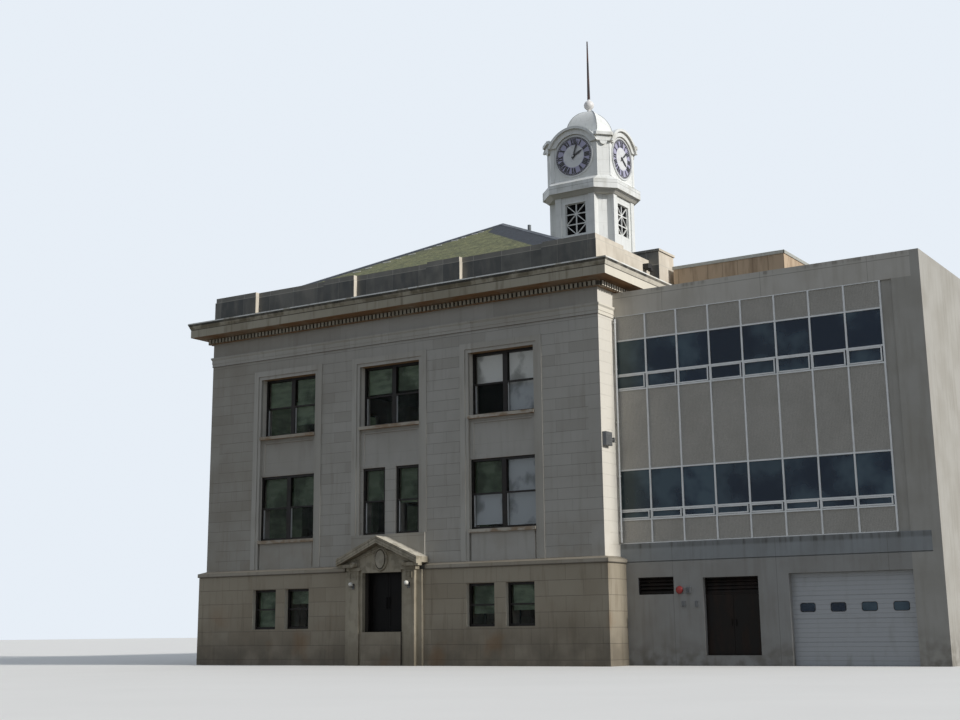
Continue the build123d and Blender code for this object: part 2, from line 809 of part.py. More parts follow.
lamp_foot = lamp_z - lamp_radius
lamp_plate_face = portal_face + lamp_plate_depth
with BuildPart() as wall_lamps:
    for sign in (-1, 1):
        x = sign * (door_half + (pilaster_width + pilaster_step_width) / 2)
        cup_z = (lamp_foot - lamp_cup_height, lamp_foot)
        panel(front, around(x, lamp_plate_width), around(lamp_foot, lamp_plate_height), (portal_face, lamp_plate_face))
        panel(front, around(x, lamp_arm), cup_z, (lamp_plate_face, portal_face + lamp_reach))
        rod(x, -portal_face - lamp_reach, cup_z, lamp_cup_radius)
        with Locations((x, -portal_face - lamp_reach, lamp_z - lamp_seat)):
            Sphere(lamp_radius)
save(wall_lamps, "wall_lamps")


# Clock tower
def chamfered_square(z, half, chamfer):
    """A square with cut corners, round the tower's axis at the given height."""
    flat = half - chamfer
    with BuildSketch(Plane((0, mid_depth, z))) as outline:
        Polygon((-flat, -half), (flat, -half), (half, -flat), (half, flat),
                (flat, half), (-flat, half), (-half, flat), (-half, -flat), align=None)
    return outline.sketch


def notched_square(z, half, chamfer, notch):
    """The same square with its cut corners set back between short returns."""
    flat = half - chamfer
    back = half - notch
    with BuildSketch(Plane((0, mid_depth, z))) as outline:
        Polygon((-flat, -half), (flat, -half), (flat, -back), (back, -flat), (half, -flat), (half, flat),
                (back, flat), (flat, back), (flat, half), (-flat, half), (-flat, back), (-back, flat),
                (-half, flat), (-half, -flat), (-back, -flat), (-flat, -back), align=None)
    return outline.sketch


def grown_chamfer(chamfer, out):
    """The chamfer of a cut square that is offset outward by the same distance all round."""
    return chamfer + (2 - math.sqrt(2)) * out


base_foot = ridge_z - 2 * tower_half * roof_slope
with BuildPart() as tower_base:
    inner_chamfer = grown_chamfer(base_chamfer + corner_notch, -tower_wall)
    extrude(notched_square(base_foot, tower_half, base_chamfer, corner_notch), amount=base_top - base_foot)
    extrude(chamfered_square(base_foot, tower_half - tower_wall, inner_chamfer),
            amount=base_top - base_foot, mode=Mode.SUBTRACT)
    flat = tower_half - base_chamfer
    for side in tower_sides.values():
        for sign in (-1, 1):
            panel(side, sorted((sign * flat, sign * (flat - pier_width))), (base_foot, base_top), (0, pier_out))
        panel(side, around(0, opening_width), (opening_bottom, opening_top), (0, -tower_wall),
              mode=Mode.SUBTRACT)
    add(roof_form, mode=Mode.SUBTRACT)
save(tower_base, "tower_base")


def lattice(side):
    """A grille with an upright, level bars and diagonals that zigzag from row to row."""
    row = (opening_top - opening_bottom) / lattice_rows
    half = opening_width / 2
    middle = (0, (opening_bottom + opening_top) / 2)
    with BuildSketch(face_plane(side, -tower_wall / 2)) as grille:
        for i in range(lattice_rows):
            low, high = opening_bottom + i * row, opening_bottom + (i + 1) * row
            for sign in (-1, 1):
                start, end = ((0, low), (sign * half, high)) if i % 2 == 0 else ((sign * half, low), (0, high))
                run, climb = end[0] - start[0], end[1] - start[1]
                with Locations(Location((sign * half / 2, (low + high) / 2), math.degrees(math.atan2(climb, run)))):
                    Rectangle(math.hypot(run, climb) + lattice_bar, lattice_bar * 0.8)
        with Locations(middle):
            Rectangle(lattice_bar, opening_top - opening_bottom)
        with Locations(*[(0, opening_bottom + i * row) for i in range(lattice_rows + 1)]):
            Rectangle(opening_width, lattice_bar)
        with Locations((-half, middle[1]), (half, middle[1])):
            Rectangle(lattice_bar, opening_top - opening_bottom)
        with Locations(middle):
            Rectangle(opening_width, opening_top - opening_bottom, mode=Mode.INTERSECT)
    extrude(grille.sketch, amount=-lattice_depth)


with BuildPart() as tower_lattice:
    for side in tower_sides.values():
        lattice(side)
save(tower_lattice, "tower_lattice")


def tower_outline(z, out, chamfer):
    """The tower's plan at a height, grown outward by the same distance all round."""
    return chamfered_square(z, tower_half + out, grown_chamfer(chamfer, out))


with BuildPart() as tower_skirt:
    loft([tower_outline(base_top, skirt_foot_out, base_chamfer),
          tower_outline(skirt_bottom, skirt_neck_out, base_chamfer)])
    extrude(tower_outline(skirt_bottom, skirt_out, base_chamfer), amount=skirt_top - skirt_bottom)
    loft([tower_outline(skirt_top, skirt_crown_out, base_chamfer),
          tower_outline(clock_bottom, 0, clock_chamfer)])
save(tower_skirt, "tower_skirt")

def clock_corners():
    """The four cut corners of the clock stage as sides."""
    reach = tower_half - clock_chamfer / 2
    corners = []
    for sx in (-1, 1):
        for sy in (-1, 1):
            outward = Vector(sx, sy, 0).normalized()
            along = Vector(0, 0, 1).cross(outward)
            corners.append(Side((sx * reach, mid_depth + sy * reach, 0), tuple(along), tuple(outward),
                                clock_chamfer / math.sqrt(2)))
    return corners


with BuildPart() as clock_stage:
    stage_height = corner_cornice_top - clock_bottom
    extrude(tower_outline(clock_bottom, 0, clock_chamfer), amount=stage_height)
    extrude(tower_outline(clock_bottom, -tower_wall, clock_chamfer), amount=stage_height, mode=Mode.SUBTRACT)
    for side in tower_sides.values():
        for sign in (-1, 1):
            flat = tower_half - clock_chamfer
            panel(side, sorted((sign * flat, sign * (flat - strip_width))),
                  (clock_bottom, corner_cornice_bottom), (0, strip_out))
    for corner in clock_corners():
        disc(corner, corner_cornice_bottom, bracket_radius, (0, bracket_out))
        panel(corner, (-bracket_radius, bracket_radius), (corner_cornice_bottom, corner_cornice_top),
              (0, bracket_out), mode=Mode.SUBTRACT)
save(clock_stage, "clock_stage")


def arch_half_chord(radius, z):
    """Half the width of a circle round the dial's centre at the given height."""
    return math.sqrt(radius**2 - (z - dial_z) ** 2)


with BuildPart() as arched_cornice:
    steps = ((arch_step_out, corner_cornice_bottom, arch_inner_radius, arch_step_radius),
             (arch_out, corner_cornice_step, arch_step_radius, arch_radius))
    for out, bottom, inner, outer in steps:
        extrude(tower_outline(bottom, out, clock_chamfer), amount=corner_cornice_top - bottom)
    for side in tower_sides.values():
        gap = arch_half_chord(arch_step_radius, corner_cornice_bottom)
        panel(side, (-gap, gap), (corner_cornice_bottom, corner_cornice_top), (-tower_half, arch_out),
              mode=Mode.SUBTRACT)
    for side in tower_sides.values():
        for out, bottom, inner, outer in steps:
            with BuildSketch(face_plane(side)):
                with Locations((0, dial_z)):
                    Circle(outer)
                    Circle(inner, mode=Mode.SUBTRACT)
                with Locations((0, corner_cornice_bottom)):
                    Rectangle(4 * outer, 4 * outer, align=(Align.CENTER, Align.MAX), mode=Mode.SUBTRACT)
            extrude(amount=out)
    extrude(tower_outline(corner_cornice_bottom, 0, clock_chamfer), amount=arch_radius * 2, mode=Mode.SUBTRACT)
save(arched_cornice, "arched_cornice")


# Dome: one outline run along both axes, so that its four faces meet in hips
def dome_face(x_dir, z_dir):
    """The outline of the dome on an upright plane through the tower's axis."""
    spring = dome_spring - corner_cornice_top
    flare = (dome_half + (dome_foot_half - dome_half) * 0.35, spring * 0.45)
    with BuildSketch(Plane((0, mid_depth, corner_cornice_top), x_dir=x_dir, z_dir=z_dir)) as outline:
        with BuildLine():
            Line((-dome_foot_half, 0), (dome_foot_half, 0))
            ThreePointArc((dome_foot_half, 0), flare, (dome_half, spring))
            EllipticalCenterArc((0, spring), dome_half, dome_top - dome_spring, start_angle=0, arc_size=180)
            ThreePointArc((-dome_half, spring), (-flare[0], flare[1]), (-dome_foot_half, 0))
        make_face()
    return outline.sketch


def cross_vault():
    """Two crossed barrels behind the arches of the clock stage, as far up as they rise over its cornice."""
    with BuildPart() as vault:
        for name in ("front", "left"):
            disc(tower_sides[name], dial_z, vault_radius, (0, -2 * tower_half))
        extrude(tower_outline(corner_cornice_top, 0, clock_chamfer), amount=vault_radius, mode=Mode.INTERSECT)
    return vault.part


vault_form = cross_vault()
with BuildPart() as dome:
    extrude(dome_face((1, 0, 0), (0, -1, 0)), amount=dome_foot_half, both=True)
    extrude(dome_face((0, 1, 0), (1, 0, 0)), amount=dome_foot_half, both=True, mode=Mode.INTERSECT)
    add(vault_form)
save(dome, "dome")

with BuildPart() as finial:
    with BuildSketch(Plane((0, mid_depth, 0), x_dir=(1, 0, 0), z_dir=(0, -1, 0))):
        with BuildLine():
            foot, shoulder = dome_top - neck_half_height, dome_top + neck_half_height
            ball_foot = (neck_top_radius, ball_z - math.sqrt(ball_radius**2 - neck_top_radius**2))
            spire_foot = (spire_base_radius, ball_z + math.sqrt(ball_radius**2 - spire_base_radius**2))
            Polyline((0, foot), (neck_radius, foot), (neck_radius, shoulder), ball_foot)
            ThreePointArc(ball_foot, (ball_radius, ball_z), spire_foot)
            Polyline(spire_foot, (spire_tip_radius, spire_tip_z), (0, spire_tip_z), (0, foot))
        make_face()
    revolve(axis=Axis((0, mid_depth, 0), (0, 0, 1)))
    add(dome.part, mode=Mode.SUBTRACT)
save(finial, "finial")

with BuildPart() as clock_dials:
    for side in tower_sides.values():
        disc(side, dial_z, dial_radius + rim_width, (0, rim_depth))
        disc(side, dial_z, dial_radius, (rim_depth, dial_depth), mode=Mode.SUBTRACT)
        disc(side, dial_z, boss_radius, (dial_depth, boss_length))
save(clock_dials, "clock_dials")


def hand(side, length, width, outward, clock_angle):
    """A tapered hand with a tail and a pierced hub, turned clockwise from twelve by the angle."""
    tail = length * 0.22
    hub = boss_radius * 2
    with BuildSketch(face_plane(side, outward)) as outline:
        with Locations(Location((0, dial_z), -clock_angle)):
            Polygon((-width / 2, 0), (-width * 0.3, -tail), (width * 0.3, -tail), (width / 2, 0),
                    (width * 0.7, length * 0.6), (0, length), (-width * 0.7, length * 0.6), align=None)
            Circle(hub)
            Circle(boss_radius + boss_clearance, mode=Mode.SUBTRACT)
    extrude(outline.sketch, amount=hand_thickness)


def hour_hand(side, time):
    hand(side, hour_hand_length, hour_hand_width, hour_hand_offset, 30 * (time[0] + time[1] / 60))


def minute_hand(side, time):
    hand(side, minute_hand_length, minute_hand_width, minute_hand_offset, 6 * time[1])


with BuildPart() as front_hour_hand:
    hour_hand(tower_sides["front"], front_time)
save(front_hour_hand, "front_hour_hand")

with BuildPart() as front_minute_hand:
    minute_hand(tower_sides["front"], front_time)
save(front_minute_hand, "front_minute_hand")

with BuildPart() as right_hour_hand:
    hour_hand(tower_sides["right"], right_time)
save(right_hour_hand, "right_hour_hand")

with BuildPart() as right_minute_hand:
    minute_hand(tower_sides["right"], right_time)
save(right_minute_hand, "right_minute_hand")

with BuildPart() as rear_clock_hands:
    for name in ("left", "back"):
        hour_hand(tower_sides[name], front_time)
        minute_hand(tower_sides[name], front_time)
save(rear_clock_hands, "rear_clock_hands")

# The annex's two long faces as sides whose distances along are X on the front and minus X on the back
annex_faces = {
    "front": (Side((0, annex_front, 0), (1, 0, 0), (0, -1, 0), annex_right), 1),
    "back": (Side((0, annex_back, 0), (-1, 0, 0), (0, 1, 0), annex_right), -1),
}


def on_face(name, areas, depth, thickness, mode=Mode.ADD):
    """Blocks on one of the annex's long faces, from the given depth behind it."""
    side, sign = annex_faces[name]
    turned = [(sorted((sign * u[0], sign * u[1])), z) for u, z in areas]
    panels(side, turned, (-depth, -depth - thickness), mode)


# Annex: ground-floor walls beside the two doorways, and the plain wall behind
annex_y = (annex_front, annex_front + annex_wall)
back_y = (annex_back - annex_wall, annex_back)
with BuildPart() as annex_ground_walls:
    block((plinth_half, service_left), annex_y, (0, band_bottom))
    block((louvre_left, louvre_right), annex_y, (louvre_bottom, louvre_top), mode=Mode.SUBTRACT)
    block((service_right, garage_left), annex_y, (0, band_bottom))
    block((plinth_half, annex_right - annex_wall), back_y, (0, band_bottom))
save(annex_ground_walls, "annex_ground_walls")

with BuildPart() as annex_door_stones:
    block((service_left, service_right), annex_y, (0, service_bottom))
    for x in service_pivots_x:
        pivot_pin(x, service_pivot_y, service_bottom, upward=True)
    block((service_left, service_right), annex_y, (service_top, band_bottom))
    block((garage_left, garage_right), annex_y, (garage_top, band_bottom))
save(annex_door_stones, "annex_door_stones")

with BuildPart() as annex_band:
    for y in (annex_y, back_y):
        block((half_width, annex_right - annex_wall), y, (band_bottom, band_top))
    block((half_width, annex_right), (annex_front, annex_front + band_groove),
          (band_bottom, band_bottom + band_groove), mode=Mode.SUBTRACT)
save(annex_band, "annex_band")

with BuildPart() as annex_end_wall:
    block((annex_right - annex_wall, annex_right), (annex_front, annex_back), (0, annex_top))
    block((garage_right, annex_right), annex_y, (0, band_bottom))
    for name, y in (("front", annex_y), ("back", back_y)):
        block((annex_right - pier_face, annex_right), y, (band_top, fascia_bottom))
        on_face(name, [((curtain_right, annex_right - pier_face), (band_top, fascia_bottom))],
                jamb_recess, annex_wall - jamb_recess)
save(annex_end_wall, "annex_end_wall")

with BuildPart() as annex_fascia:
    for y in (annex_y, back_y):
        block((half_width, annex_right - annex_wall), y, (fascia_bottom, annex_top))
save(annex_fascia, "annex_fascia")


def curtain_cells(kinds):
    """The areas between mullions and rails in the rows of these kinds, along X and up."""
    areas = []
    for kind, low, high in rows:
        if kind in kinds:
            for i in range(module_count):
                left = half_width + i * module_width + mullion_width
                areas.append(((left, left + module_width - mullion_width),
                              (low + rail_height / 2, high - rail_height / 2)))
    return areas


def curtain_frame(name):
    """Mullions and rails as one grid."""
    on_face(name, [((half_width, curtain_right), (band_top, fascia_bottom))], 0, mullion_depth)
    on_face(name, curtain_cells(("panel", "glass")), 0, mullion_depth, mode=Mode.SUBTRACT)


with BuildPart() as curtain_frame_front:
    curtain_frame("front")
save(curtain_frame_front, "curtain_frame_front")

with BuildPart() as curtain_frame_back:
    curtain_frame("back")
save(curtain_frame_back, "curtain_frame_back")

with BuildPart() as curtain_panels:
    for name in annex_faces:
        on_face(name, curtain_cells(("panel",)), panel_setback, panel_thickness)
save(curtain_panels, "curtain_panels")

with BuildPart() as curtain_glass:
    for name in annex_faces:
        on_face(name, curtain_cells(("glass",)), panel_setback, glass_thickness)
save(curtain_glass, "curtain_glass")

with BuildPart() as annex_floor_slabs:
    inside_y = (annex_front + annex_wall, annex_back - annex_wall)
    for top in annex_floors:
        left = plinth_half if top < basement_top else half_width
        block((left, annex_right - annex_wall), inside_y, (max(0, top - annex_floor_thickness), top))
save(annex_floor_slabs, "annex_floors")

# A box on the annex's roof that reaches over the side cornice as far as the parapet's piers
cornice_edge = half_width + cornice_out
with BuildPart() as penthouse:
    right = penthouse_left + penthouse_width
    y = (penthouse_front, penthouse_front + penthouse_depth)
    inner_y = (y[0] + annex_wall, y[1] - annex_wall)
    block((penthouse_left, right), y, (cornice_top, penthouse_top))
    block((cornice_edge, right), y, (annex_roof_z, cornice_top))
    block((penthouse_left + annex_wall, right - annex_wall), inner_y,
          (cornice_top, penthouse_top - annex_wall), mode=Mode.SUBTRACT)
    block((cornice_edge + annex_wall, right - annex_wall), inner_y,
          (annex_roof_z, cornice_top), mode=Mode.SUBTRACT)
save(penthouse, "penthouse")


# Louvres
def louvre(x, y, z):
    """A frame with sloping slats let into its two ends."""
    block(x, y, z)
    inner_x = (x[0] + louvre_border, x[1] - louvre_border)
    inner_z = (z[0] + louvre_border, z[1] - louvre_border)
    block(inner_x, y, inner_z, mode=Mode.SUBTRACT)
    count = int((inner_z[1] - inner_z[0]) / slat_pitch)
    step = (inner_z[1] - inner_z[0]) / count
    front_y, back_y = y[0] + slat_inset, y[1] - slat_inset
    for i in range(count):
        low = inner_z[0] + i * step + slat_gap
        high = inner_z[0] + (i + 1) * step - slat_gap
        with BuildSketch(Plane((inner_x[0] - slat_seat, 0, 0), x_dir=(0, 1, 0), z_dir=(1, 0, 0))) as slat:
            Polygon((front_y, low), (front_y, low + slat_thickness),
                    (back_y, high), (back_y, high - slat_thickness), align=None)
        extrude(slat.sketch, amount=inner_x[1] - inner_x[0] + 2 * slat_seat)


with BuildPart() as annex_louvres:
    louvre_y = (annex_front + louvre_setback, annex_front + louvre_setback + louvre_depth)
    louvre((louvre_left, louvre_right), louvre_y, (louvre_bottom, louvre_top))
    service_y = (annex_front + service_setback, annex_front + service_setback + transom_depth)
    louvre((service_left, service_right), service_y, (service_top - transom_height, service_top))
    for x in service_pivots_x:
        pivot_pin(x, service_pivot_y, service_top - transom_height, upward=False)
save(annex_louvres, "annex_louvres")


def service_leaf(sign):
    """One flush leaf of the service door, hung at its outer edge."""
    middle = (service_left + service_right) / 2
    outer = middle + sign * ((service_right - service_left) / 2 - hinge_gap)
    inner = middle + sign * leaf_gap
    y = (annex_front + service_setback, annex_front + service_setback + leaf_thickness)
    z = (service_bottom + leaf_clearance, service_top - transom_height - leaf_clearance)
    block(sorted((inner, outer)), y, z)
    pivot_sockets(middle + sign * (service_pivots_x[1] - middle), service_pivot_y, *z)
    handle_x = inner + sign * service_handle_inset
    middle_z = service_bottom + handle_middle
    rod(handle_x, y[0] - handle_stand_off, around(middle_z, handle_height / 2), handle_radius)
    for end in around(middle_z, handle_height * 0.4):
        stub(front, handle_x, end, handle_foot_radius, (-y[0], -y[0] + handle_stand_off))


with BuildPart() as service_door_left:
    service_leaf(-1)
save(service_door_left, "service_door_left")

with BuildPart() as service_door_right:
    service_leaf(1)
save(service_door_right, "service_door_right")

with BuildPart() as garage_door:
    y0 = annex_front + garage_setback
    block((garage_left, garage_right), (y0, y0 + garage_thickness), (0, garage_top))
    section = garage_top / garage_sections
    for i in range(1, garage_sections):
        block((garage_left, garage_right), (y0, y0 + garage_groove_depth),
              around(i * section, garage_groove_width), mode=Mode.SUBTRACT)
    pitch = (garage_right - garage_left) / garage_light_count
    for i in range(garage_light_count):
        with BuildSketch(Plane((0, y0, 0), x_dir=(1, 0, 0), z_dir=(0, -1, 0))):
            with Locations((garage_left + (i + 0.5) * pitch, (garage_sections - 1.5) * section)):
                RectangleRounded(garage_light_width, garage_light_height, garage_light_height / 4)
        extrude(amount=-garage_light_sunk, mode=Mode.SUBTRACT)
save(garage_door, "garage_door")
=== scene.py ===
# %% [markdown]
# # A courthouse, dressed for the camera
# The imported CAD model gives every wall, window and clock hand its size and place. This lesson loads it as
# a fixed frame, gives each part a finish, and adds the small work that is left to Blender: dentils, blinds,
# clock numerals, carving and pipes. Nothing in the frame is moved. All lengths are in metres.

# %% Load the frame
import math
import random

import bpy
from mathutils import Matrix, Vector


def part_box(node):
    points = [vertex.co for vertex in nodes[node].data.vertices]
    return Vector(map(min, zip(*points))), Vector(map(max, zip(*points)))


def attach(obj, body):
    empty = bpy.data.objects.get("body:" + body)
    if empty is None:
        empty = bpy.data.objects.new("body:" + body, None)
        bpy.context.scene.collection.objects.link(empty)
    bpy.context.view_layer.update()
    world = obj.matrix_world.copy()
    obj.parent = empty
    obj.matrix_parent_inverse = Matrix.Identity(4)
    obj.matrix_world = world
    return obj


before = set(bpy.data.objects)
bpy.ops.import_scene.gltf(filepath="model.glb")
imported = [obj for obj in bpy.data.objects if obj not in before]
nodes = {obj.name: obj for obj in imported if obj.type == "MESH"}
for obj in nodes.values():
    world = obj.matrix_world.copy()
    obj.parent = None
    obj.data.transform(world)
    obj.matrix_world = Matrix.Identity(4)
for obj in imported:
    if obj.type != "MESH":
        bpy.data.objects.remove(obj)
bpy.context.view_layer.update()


# %% [markdown]
# ## The camera
# The building is seen from the street corner, from about the height of someone's chest, looking up. The
# lens and the direction were worked out from points whose places are known: the cornice corner, the tower's
# tip and the window heads. The rows below are the camera's right and up directions, and their cross product
# is the way back.

# %% Camera
FRAME_WIDTH, FOCAL_PIXELS, CENTRE_DROP = 960, 1437.5, 68
SENSOR_WIDTH = 36
STANDPOINT = (32.443, -44.05, 1.123)

camera = bpy.data.objects.new("camera", bpy.data.cameras.new("camera"))
bpy.context.scene.collection.objects.link(camera)
right = Vector((0.84053674, 0.54165873, -0.01018881))
up = Vector((0.13341445, -0.18872917, 0.9729244))
turn = Matrix((right, up, right.cross(up))).transposed().to_4x4()
camera.matrix_world = Matrix.Translation(STANDPOINT) @ turn
camera.data.sensor_width = SENSOR_WIDTH
camera.data.lens = SENSOR_WIDTH * FOCAL_PIXELS / FRAME_WIDTH
camera.data.shift_y = -CENTRE_DROP / FRAME_WIDTH
camera.data.clip_end = 2000
bpy.context.scene.camera = camera
print("lens:", round(camera.data.lens, 2), "mm")

# %% [markdown]
# ## Writing finishes as sums
# A finish is a chain of nodes. Wired by hand it is hard to read, so one small class wraps a socket and
# lets Python's own signs make the Math nodes: `1 - mask * 0.5` adds a Multiply and a Subtract. A second
# class holds the tree and adds any other node by its type.


# %% Signals and node trees
class Signal:
    """A value that runs through a tree's nodes."""

    def __init__(self, tree, socket):
        self.tree, self.socket = tree, socket

    def maths(self, operation, *values):
        return self.tree.node("ShaderNodeMath", {"operation": operation}, dict(enumerate(values)))

    def __add__(self, other):
        return self.maths("ADD", self, other)

    def __sub__(self, other):
        return self.maths("SUBTRACT", self, other)

    def __rsub__(self, other):
        return self.maths("SUBTRACT", other, self)

    def __mul__(self, other):
        return self.maths("MULTIPLY", self, other)

    def __truediv__(self, other):
        return self.maths("DIVIDE", self, other)

    def __gt__(self, other):
        return self.maths("GREATER_THAN", self, other)

    def __lt__(self, other):
        return self.maths("LESS_THAN", self, other)

    def __abs__(self):
        return self.maths("ABSOLUTE", self)

    __radd__ = __add__
    __rmul__ = __mul__

    def floor(self):
        return self.maths("FLOOR", self)

    def fraction(self):
        return self.maths("FRACT", self)

    def root(self):
        return self.maths("SQRT", self)

    def at_least(self, other):
        return self.maths("MAXIMUM", self, other)

    def at_most(self, other):
        return self.maths("MINIMUM", self, other)

    def to_whole(self):
        """Distance to the nearest whole number, 0 to 0.5."""
        return 0.5 - abs(self.fraction() - 0.5)

    def ramp(self, low, high, to_low=0.0, to_high=1.0):
        """Runs smoothly from to_low to to_high as the value goes from low to high."""
        return self.tree.node("ShaderNodeMapRange", {"interpolation_type": "SMOOTHSTEP"},
                              {"Value": self, "From Min": low, "From Max": high,
                               "To Min": to_low, "To Max": to_high}, "Result")

    def band(self, low, high, soft=0.005):
        """1 between two values and 0 outside them."""
        return self.ramp(low - soft, low + soft) * (1 - self.ramp(high - soft, high + soft))

    def line(self, pitch, width):
        """1 on a thin line at every whole multiple of a pitch."""
        return ((self / pitch).to_whole() * pitch).ramp(width * 0.3, width, 1.0, 0.0)


def either(mask, off, on):
    """The first value where the mask is 0, and the second where it is 1."""
    return off * (1 - mask) + on * mask


def linear(rgb):
    """A colour picked in 0 to 255, as the linear value that a shader takes."""
    return tuple((c / 255 / 12.92 if c <= 10 else ((c / 255 + 0.055) / 1.055) ** 2.4) for c in rgb) + (1.0,)


class Tree:
    """A node tree under construction."""

    def __init__(self, tree):
        self.tree = tree

    def node(self, kind, settings=None, sockets=None, output=0):
        """Adds a node: its settings first, and then its sockets' values or links."""
        made = self.tree.nodes.new(kind)
        for key, value in (settings or {}).items():
            setattr(made, key, value)
        for key, value in (sockets or {}).items():
            self.feed(made.inputs[key], value)
        return Signal(self, made.outputs[output])

    def feed(self, socket, value):
        if isinstance(value, Signal):
            self.tree.links.new(value.socket, socket)
        else:
            socket.default_value = value

    def seen_directly(self):
        """1 for what the camera sees straight, in a gloss or through a pane, and 0 for soft light."""
        straight, gloss, through = (self.node("ShaderNodeLightPath", output=ray) for ray in
                                    ("Is Camera Ray", "Is Glossy Ray", "Is Transmission Ray"))
        return straight.at_least(gloss).at_least(through)


# %% [markdown]
# ## Light
# The day is bright and the sun stands low to the right, in line with the front, so that the front is in
# soft shade and every face that looks right is light. One sun gives that, set so that a sunlit face comes
# out about as its colour is written, and a pale world fills the shade. The world looks brighter to the
# camera and in the glass than it is to the building.

# %% Light
SUN_STRENGTH, SUN_ANGLE, SUN_FROM = 3.0, 5, (0.90, 0.01, 0.46)
WORLD_STRENGTH = 0.39

sun = bpy.data.objects.new("sun", bpy.data.lights.new("sun", "SUN"))
bpy.context.scene.collection.objects.link(sun)
sun.data.energy = SUN_STRENGTH
sun.data.color = (1.0, 0.965, 0.91)
sun.data.angle = math.radians(SUN_ANGLE)
sun.matrix_world = Vector(SUN_FROM).to_track_quat("Z", "Y").to_matrix().to_4x4()

bpy.context.scene.view_settings.view_transform = "Standard"
world = bpy.data.worlds.new("sky")
world.use_nodes = True
world.node_tree.nodes.remove(world.node_tree.nodes["Background"])
bpy.context.scene.world = world
sky = Tree(world.node_tree)
gentle = sky.node("ShaderNodeBackground", None, {"Color": (0.80, 0.88, 1.0, 1), "Strength": WORLD_STRENGTH})
pale_sky = sky.node("ShaderNodeBackground", None, {"Color": (0.80, 0.86, 0.93, 1), "Strength": 1.0})
sky.feed(sky.tree.nodes["World Output"].inputs["Surface"],
         sky.node("ShaderNodeMixShader", None, {0: sky.seen_directly(), 1: gentle, 2: pale_sky}))
print("sun:", SUN_STRENGTH, "world:", WORLD_STRENGTH)

# %% [markdown]
# ## A finish
# Each material starts as one Principled shader with its plain colour and the constants that are the same
# all over. Tints are then laid over that colour, one after another, as a painter lays washes. The
# coordinates are the building's own metres, so a course of stone or a shingle is written at its real size
# and stays put from any side. Most metal and paint needs only two tones that one noise shares out, so that
# is a function.


# %% Finishes
class Finish(Tree):
    """A material under construction, with the colour that its tints have made so far."""

    def __init__(self, name, rgb, roughness=0.8, **constants):
        self.material = bpy.data.materials.new(name)
        self.material.use_nodes = True
        super().__init__(self.material.node_tree)
        self.shader = self.tree.nodes["Principled BSDF"]
        self.colour = linear(rgb)
        self.feed_all({"Base Color": self.colour, "Roughness": roughness}, constants)
        self.place = self.node("ShaderNodeTexCoord", output="Object")
        facing = self.node("ShaderNodeTexCoord", output="Normal")
        self.x, self.y, self.z = (self.part(self.place, axis) for axis in "XYZ")
        self.nx, self.ny, self.nz = (self.part(facing, axis) for axis in "XYZ")

    def feed_all(self, *values):
        """Sets or links the shader's sockets. An underscore stands for a space in a socket's name."""
        for group in values:
            for socket, value in group.items():
                self.feed(self.shader.inputs[socket.replace("_", " ")], value)

    def part(self, vector, axis):
        return self.node("ShaderNodeSeparateXYZ", None, {0: vector}, axis)

    def noise(self, size, detail=3.0, stretch=(1, 1, 1)):
        """Cloudy noise, 0 to 1, whose lumps are about the given size in metres, longer along stretch."""
        where = self.node("ShaderNodeVectorMath", {"operation": "DIVIDE"},
                          {0: self.place, 1: tuple(size * s for s in stretch)})
        return self.node("ShaderNodeTexNoise", None, {"Vector": where, "Scale": 1.0, "Detail": detail})

    def streaks(self, size, length, low=0.46, high=0.72):
        """Marks drawn out downward, as rain leaves them."""
        return self.noise(size, 4.0, stretch=(1, 1, length)).ramp(low, high)

    def chance(self, a, b):
        """One random number, 0 to 1, for each pair of whole numbers."""
        pair = self.node("ShaderNodeCombineXYZ", None, {0: a, 1: b, 2: 0.5})
        return self.node("ShaderNodeTexWhiteNoise", None, {"Vector": pair}, "Value")

    def mix(self, amount, first, second):
        """Blends two colours by an amount from 0 to 1."""
        first, second = (linear(c) if isinstance(c, tuple) and len(c) == 3 else c for c in (first, second))
        return self.node("ShaderNodeMix", {"data_type": "RGBA", "clamp_factor": True},
                         {0: amount, 6: first, 7: second}, 2)

    def tint(self, amount, colour):
        """Lays a colour over what is there, by an amount from 0 to 1."""
        self.colour = self.mix(amount, self.colour, colour)

    def sideways(self):
        """1 on a face that looks left or right."""
        return abs(self.nx) > 0.6

    def along_wall(self):
        """Distance along an upright face, whichever way it looks."""
        return either(self.sideways(), self.x, self.y)

    def underside(self):
        return (self.nz * -1).ramp(0.5, 0.9)

    def upper_face(self):
        return self.nz.ramp(0.5, 0.9)

    def sunny_face(self):
        """1 on a face that looks right, towards the sun."""
        return self.nx.ramp(0.6, 0.9)

    def finished(self, height=None, depth=0.01, **others):
        """Connects what varies over the surface and gives back the material."""
        self.feed_all({"Base Color": self.colour}, others)
        if height is not None:
            bump = self.node("ShaderNodeBump", None, {"Height": height, "Distance": depth, "Strength": 0.9})
            self.feed_all({"Normal": bump})
        return self.material


def two_tone(name, first, second, size, roughness, depth=0.001, detail=3.0, spread=None, **constants):
    """A finish of two tones that one noise shares out. A pair of roughnesses follows the noise too."""
    varies = isinstance(roughness, tuple)
    finish = Finish(name, first, 0.5 if varies else roughness, **constants)
    size, stretch = size if isinstance(size, tuple) else (size, (1, 1, 1))
    tone = finish.noise(size, detail, stretch)
    finish.tint(tone.ramp(*spread) if spread else tone, second)
    others = {"Roughness": tone.ramp(0.3, 0.7, *roughness)} if varies else {}
    return finish.finished(tone, depth, **others)


def cover(material, *names):
    """Gives a finish to the frame's nodes of these names."""
    for name in names:
        slots = nodes[name].data.materials
        if not slots:
            slots.append(material)
        for i in range(len(slots)):
            slots[i] = material
    print(material.name, "->", ", ".join(names))


